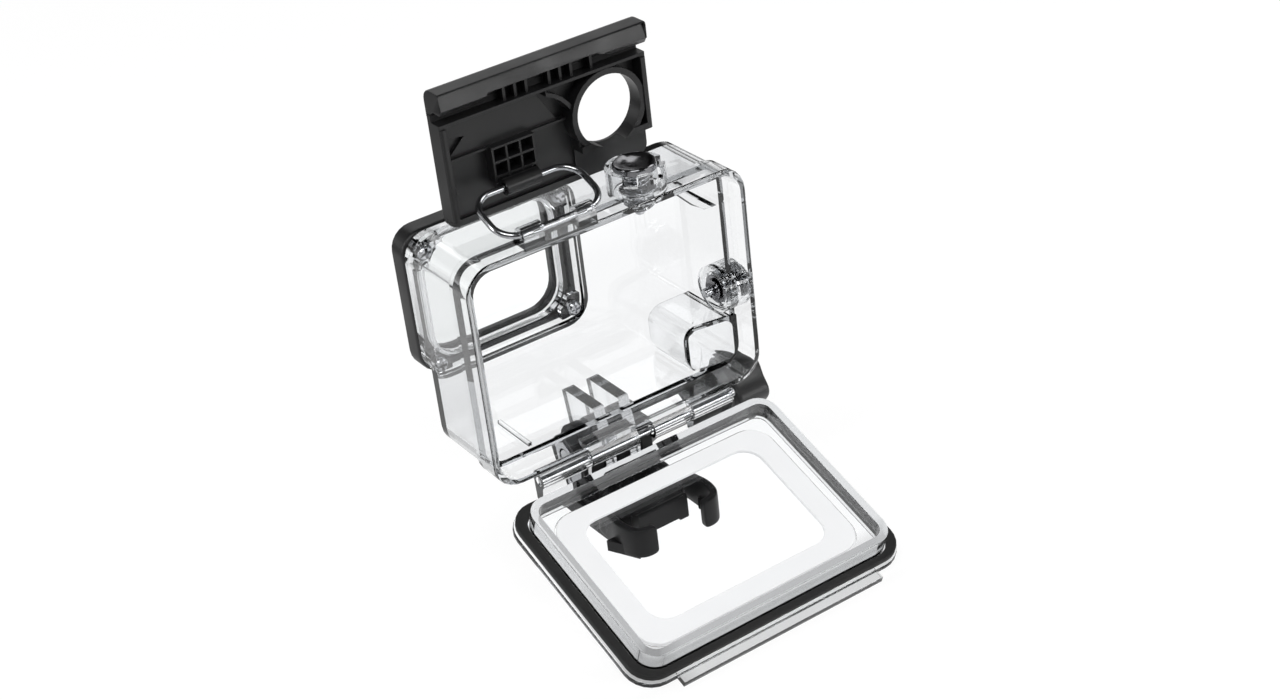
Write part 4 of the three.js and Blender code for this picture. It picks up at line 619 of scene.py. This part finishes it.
def bail_loop():
    low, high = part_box("bail_wire")
    pivots = {joint["name"]: joint.get("pos_m") for joint in frame["joints"]}
    near = Vector(pivots["bail_swing"])
    reach = Vector(pivots["lever_swing"]) - near
    middle = near + reach / 2
    upward = reach.normalized()
    side = RIGHT.cross(upward)
    long = (high.x - low.x) / 2 - BAIL_WIRE - BAIL_CORNER
    short = reach.length / 2 - BAIL_CORNER
    rings = []
    for across, rise, angle in rounded_corners(BAIL_STEPS):
        outward = RIGHT * math.cos(angle) + upward * math.sin(angle)
        corner = middle + RIGHT * across * long + upward * rise * short
        point = corner + outward * BAIL_CORNER
        rings.append(round_ring(point, outward, side, BAIL_WIRE, BAIL_SIDES))
    shape = bmesh.new()
    loft(shape, rings, closed=True)
    mesh = shape_mesh(shape, "bail_wire_round")
    mesh.shade_smooth()
    add_piece("bail_wire_round", mesh, "bail_wire")


def coil(node, joint, along, across, turns, travel):
    """A return spring: a coil of round wire along its axis, as long as the node."""
    low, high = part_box(node)
    middle = (low + high) / 2
    foot = Vector([low[i] if along[i] else middle[i] for i in range(len(along))])
    length = high.dot(along) - low.dot(along)
    centre = []
    steps = turns * COIL_STEPS
    for i in range(steps + 1):
        angle = 2 * math.pi * i / COIL_STEPS
        spot = across * math.cos(angle) + along.cross(across) * math.sin(angle)
        height = COIL_WIRE + (length - 2 * COIL_WIRE) * i / steps
        centre.append(foot + spot * COIL_RADIUS + along * height)
    rings = []
    for i, point in enumerate(centre):
        outward = point - foot
        outward = (outward - along * outward.dot(along)).normalized()
        side = heading(centre, i).cross(outward).normalized()
        rings.append(round_ring(point, outward, side, COIL_WIRE, COIL_SIDES))
    shape = bmesh.new()
    loft(shape, rings)
    mesh = shape_mesh(shape, node + "_coil")
    mesh.shade_smooth()
    piece = add_piece(node + "_coil", mesh, node)
    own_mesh(piece)


# Pieces

clear = [
    rounded("front_housing", CLEAR_EDGE),
    rounded("rear_door", CLEAR_EDGE),
    rounded("lens_glass", FINE_EDGE),
]
rooms = [block(low, high) for low, high in TAB_ROOMS]
buckle = rounded("quick_release_buckle", SOFT_EDGE, tools=rooms)
add_finger_tabs(buckle)
buckle.data.materials[0] = deep_black
hollow_pad(clear[0])
tilt_hook(rounded("latch_lever", LEVER_EDGE))
for edge, names in ROUNDED_NODES:
    for name in names:
        rounded(name, edge)
bail_loop()
for name, spring in SPRINGS.items():
    coil(name, *spring)

# Light passes through the clear pieces to what stands behind them
for piece in clear:
    piece.visible_shadow = False
    piece.visible_diffuse = False


# Camera, floor, world and lamps


def add_camera():
    data = bpy.data.cameras.new("camera")
    data.sensor_width = SENSOR_WIDTH
    data.lens = SENSOR_WIDTH * FOCAL_PIXELS / PHOTO_WIDTH_PIXELS
    data.clip_start = CLIP_START
    data.clip_end = CLIP_END
    camera = put("camera", data)
    turn = Matrix((CAMERA_RIGHT, -CAMERA_DOWN, -CAMERA_FORWARD)).transposed()
    camera.matrix_world = Matrix.Translation(CAMERA_PLACE) @ turn.to_4x4()
    bpy.context.scene.camera = camera


def add_floor(level):
    """Pale where light falls on it; reflections and clear pieces see a painted glow round the object, with painted
    light and shade round the open door.
    """
    mesh = bpy.data.meshes.new("floor")
    corners = [(x * FLOOR_HALF, y * FLOOR_HALF, level) for x, y in QUARTERS]
    mesh.from_pydata(corners, [], [range(len(corners))])
    material, tree, shader = new_material("pale_floor")
    shader.inputs["Base Color"].default_value = (*FLOOR_COLOUR, 1)
    shader.inputs["Roughness"].default_value = 1
    shader.inputs["Specular IOR Level"].default_value = 0
    ray = add_node(tree, "ShaderNodeLightPath").outputs
    inputs = {0: object_place(tree)}
    away = add_node(tree, "ShaderNodeVectorMath", inputs, operation="LENGTH").outputs["Value"]
    # Painted glow: bright beside the object and dim away from it, seen only in reflections and through clear
    # pieces
    mirrored = spread(tree, away, NEAR_GLOW, FAR_GLOW, NEAR_RADIUS, FAR_RADIUS)
    through = spread(tree, away, NEAR_GLOW, FAR_GLOW, CLEAR_NEAR_RADIUS, CLEAR_FAR_RADIUS)
    glow = mix(tree, "FLOAT", ray["Is Transmission Ray"], mirrored, through)
    place = add_node(tree, "ShaderNodeSeparateXYZ", {0: object_place(tree)}).outputs
    # Painted pool of light under the open door, inside a band of painted shade
    for axis, first, last, start, end in PAINTED_DOOR_POOL:
        painted_pool = spread(tree, place[axis], first, last, start, end)
        glow = compute(tree, "MULTIPLY", glow, painted_pool)
    strength = mix(tree, "FLOAT", ray["Is Camera Ray"], glow, OPEN_GLOW)
    shadow = compute(tree, "MULTIPLY", ray["Is Camera Ray"], SHADOW_SHARE)
    plain = compute(tree, "MAXIMUM", shadow, ray["Is Diffuse Ray"])
    glowing = add_node(tree, "ShaderNodeEmission", {"Strength": strength})
    inputs = {0: plain, 1: glowing.outputs[0], 2: shader.outputs[0]}
    surface = add_node(tree, "ShaderNodeMixShader", inputs)
    tree.links.new(surface.outputs[0], tree.nodes["Material Output"].inputs["Surface"])
    mesh.materials.append(material)
    put("floor", mesh)


def add_world():
    """Even light; reflections see a white backdrop under a dark ceiling."""
    world = bpy.data.worlds.new("studio")
    bpy.context.scene.world = world
    world.use_nodes = True
    tree = world.node_tree
    direction = add_node(tree, "ShaderNodeTexCoord").outputs["Generated"]
    split = add_node(tree, "ShaderNodeSeparateXYZ", {0: direction}).outputs
    below = spread(tree, split["Z"], 1, 0, HORIZON_SHARE, CEILING_SHARE)
    behind = spread(tree, split["Y"], 0, 1, BACKDROP_START_SHARE, BACKDROP_END_SHARE)
    ray = add_node(tree, "ShaderNodeLightPath").outputs
    front = compute(tree, "MULTIPLY", ray["Is Transmission Ray"], CLEAR_FRONT_SHARE)
    round_about = compute(tree, "MAXIMUM", behind, front)
    lit = compute(tree, "MULTIPLY", below, round_about)
    studio = spread(tree, lit, WORLD_DARK, WORLD_BRIGHT, 0, 1)
    reflected = compute(tree, "MAXIMUM", ray["Is Glossy Ray"], ray["Is Transmission Ray"])
    unseen = mix(tree, "FLOAT", reflected, WORLD_LIGHT, studio)
    strength = mix(tree, "FLOAT", ray["Is Camera Ray"], unseen, WORLD_OPEN)
    background = tree.nodes["Background"]
    background.inputs["Color"].default_value = (1, 1, 1, 1)
    tree.links.new(strength, background.inputs["Strength"])


def add_lamp(name, place, width, height, power):
    data = bpy.data.lights.new(name, "AREA")
    data.shape = "RECTANGLE"
    data.size = width
    data.size_y = height
    data.energy = power
    lamp = put(name, data)
    lamp.location = place
    lamp.rotation_euler = (LAMP_TARGET - place).to_track_quat("-Z", "Y").to_euler()


add_camera()
add_floor(cad_box[0][2] - FLOOR_DROP)
add_world()
for name, lamp in LAMPS.items():
    add_lamp(name, *lamp)
bpy.context.scene.view_settings.view_transform = "Standard"
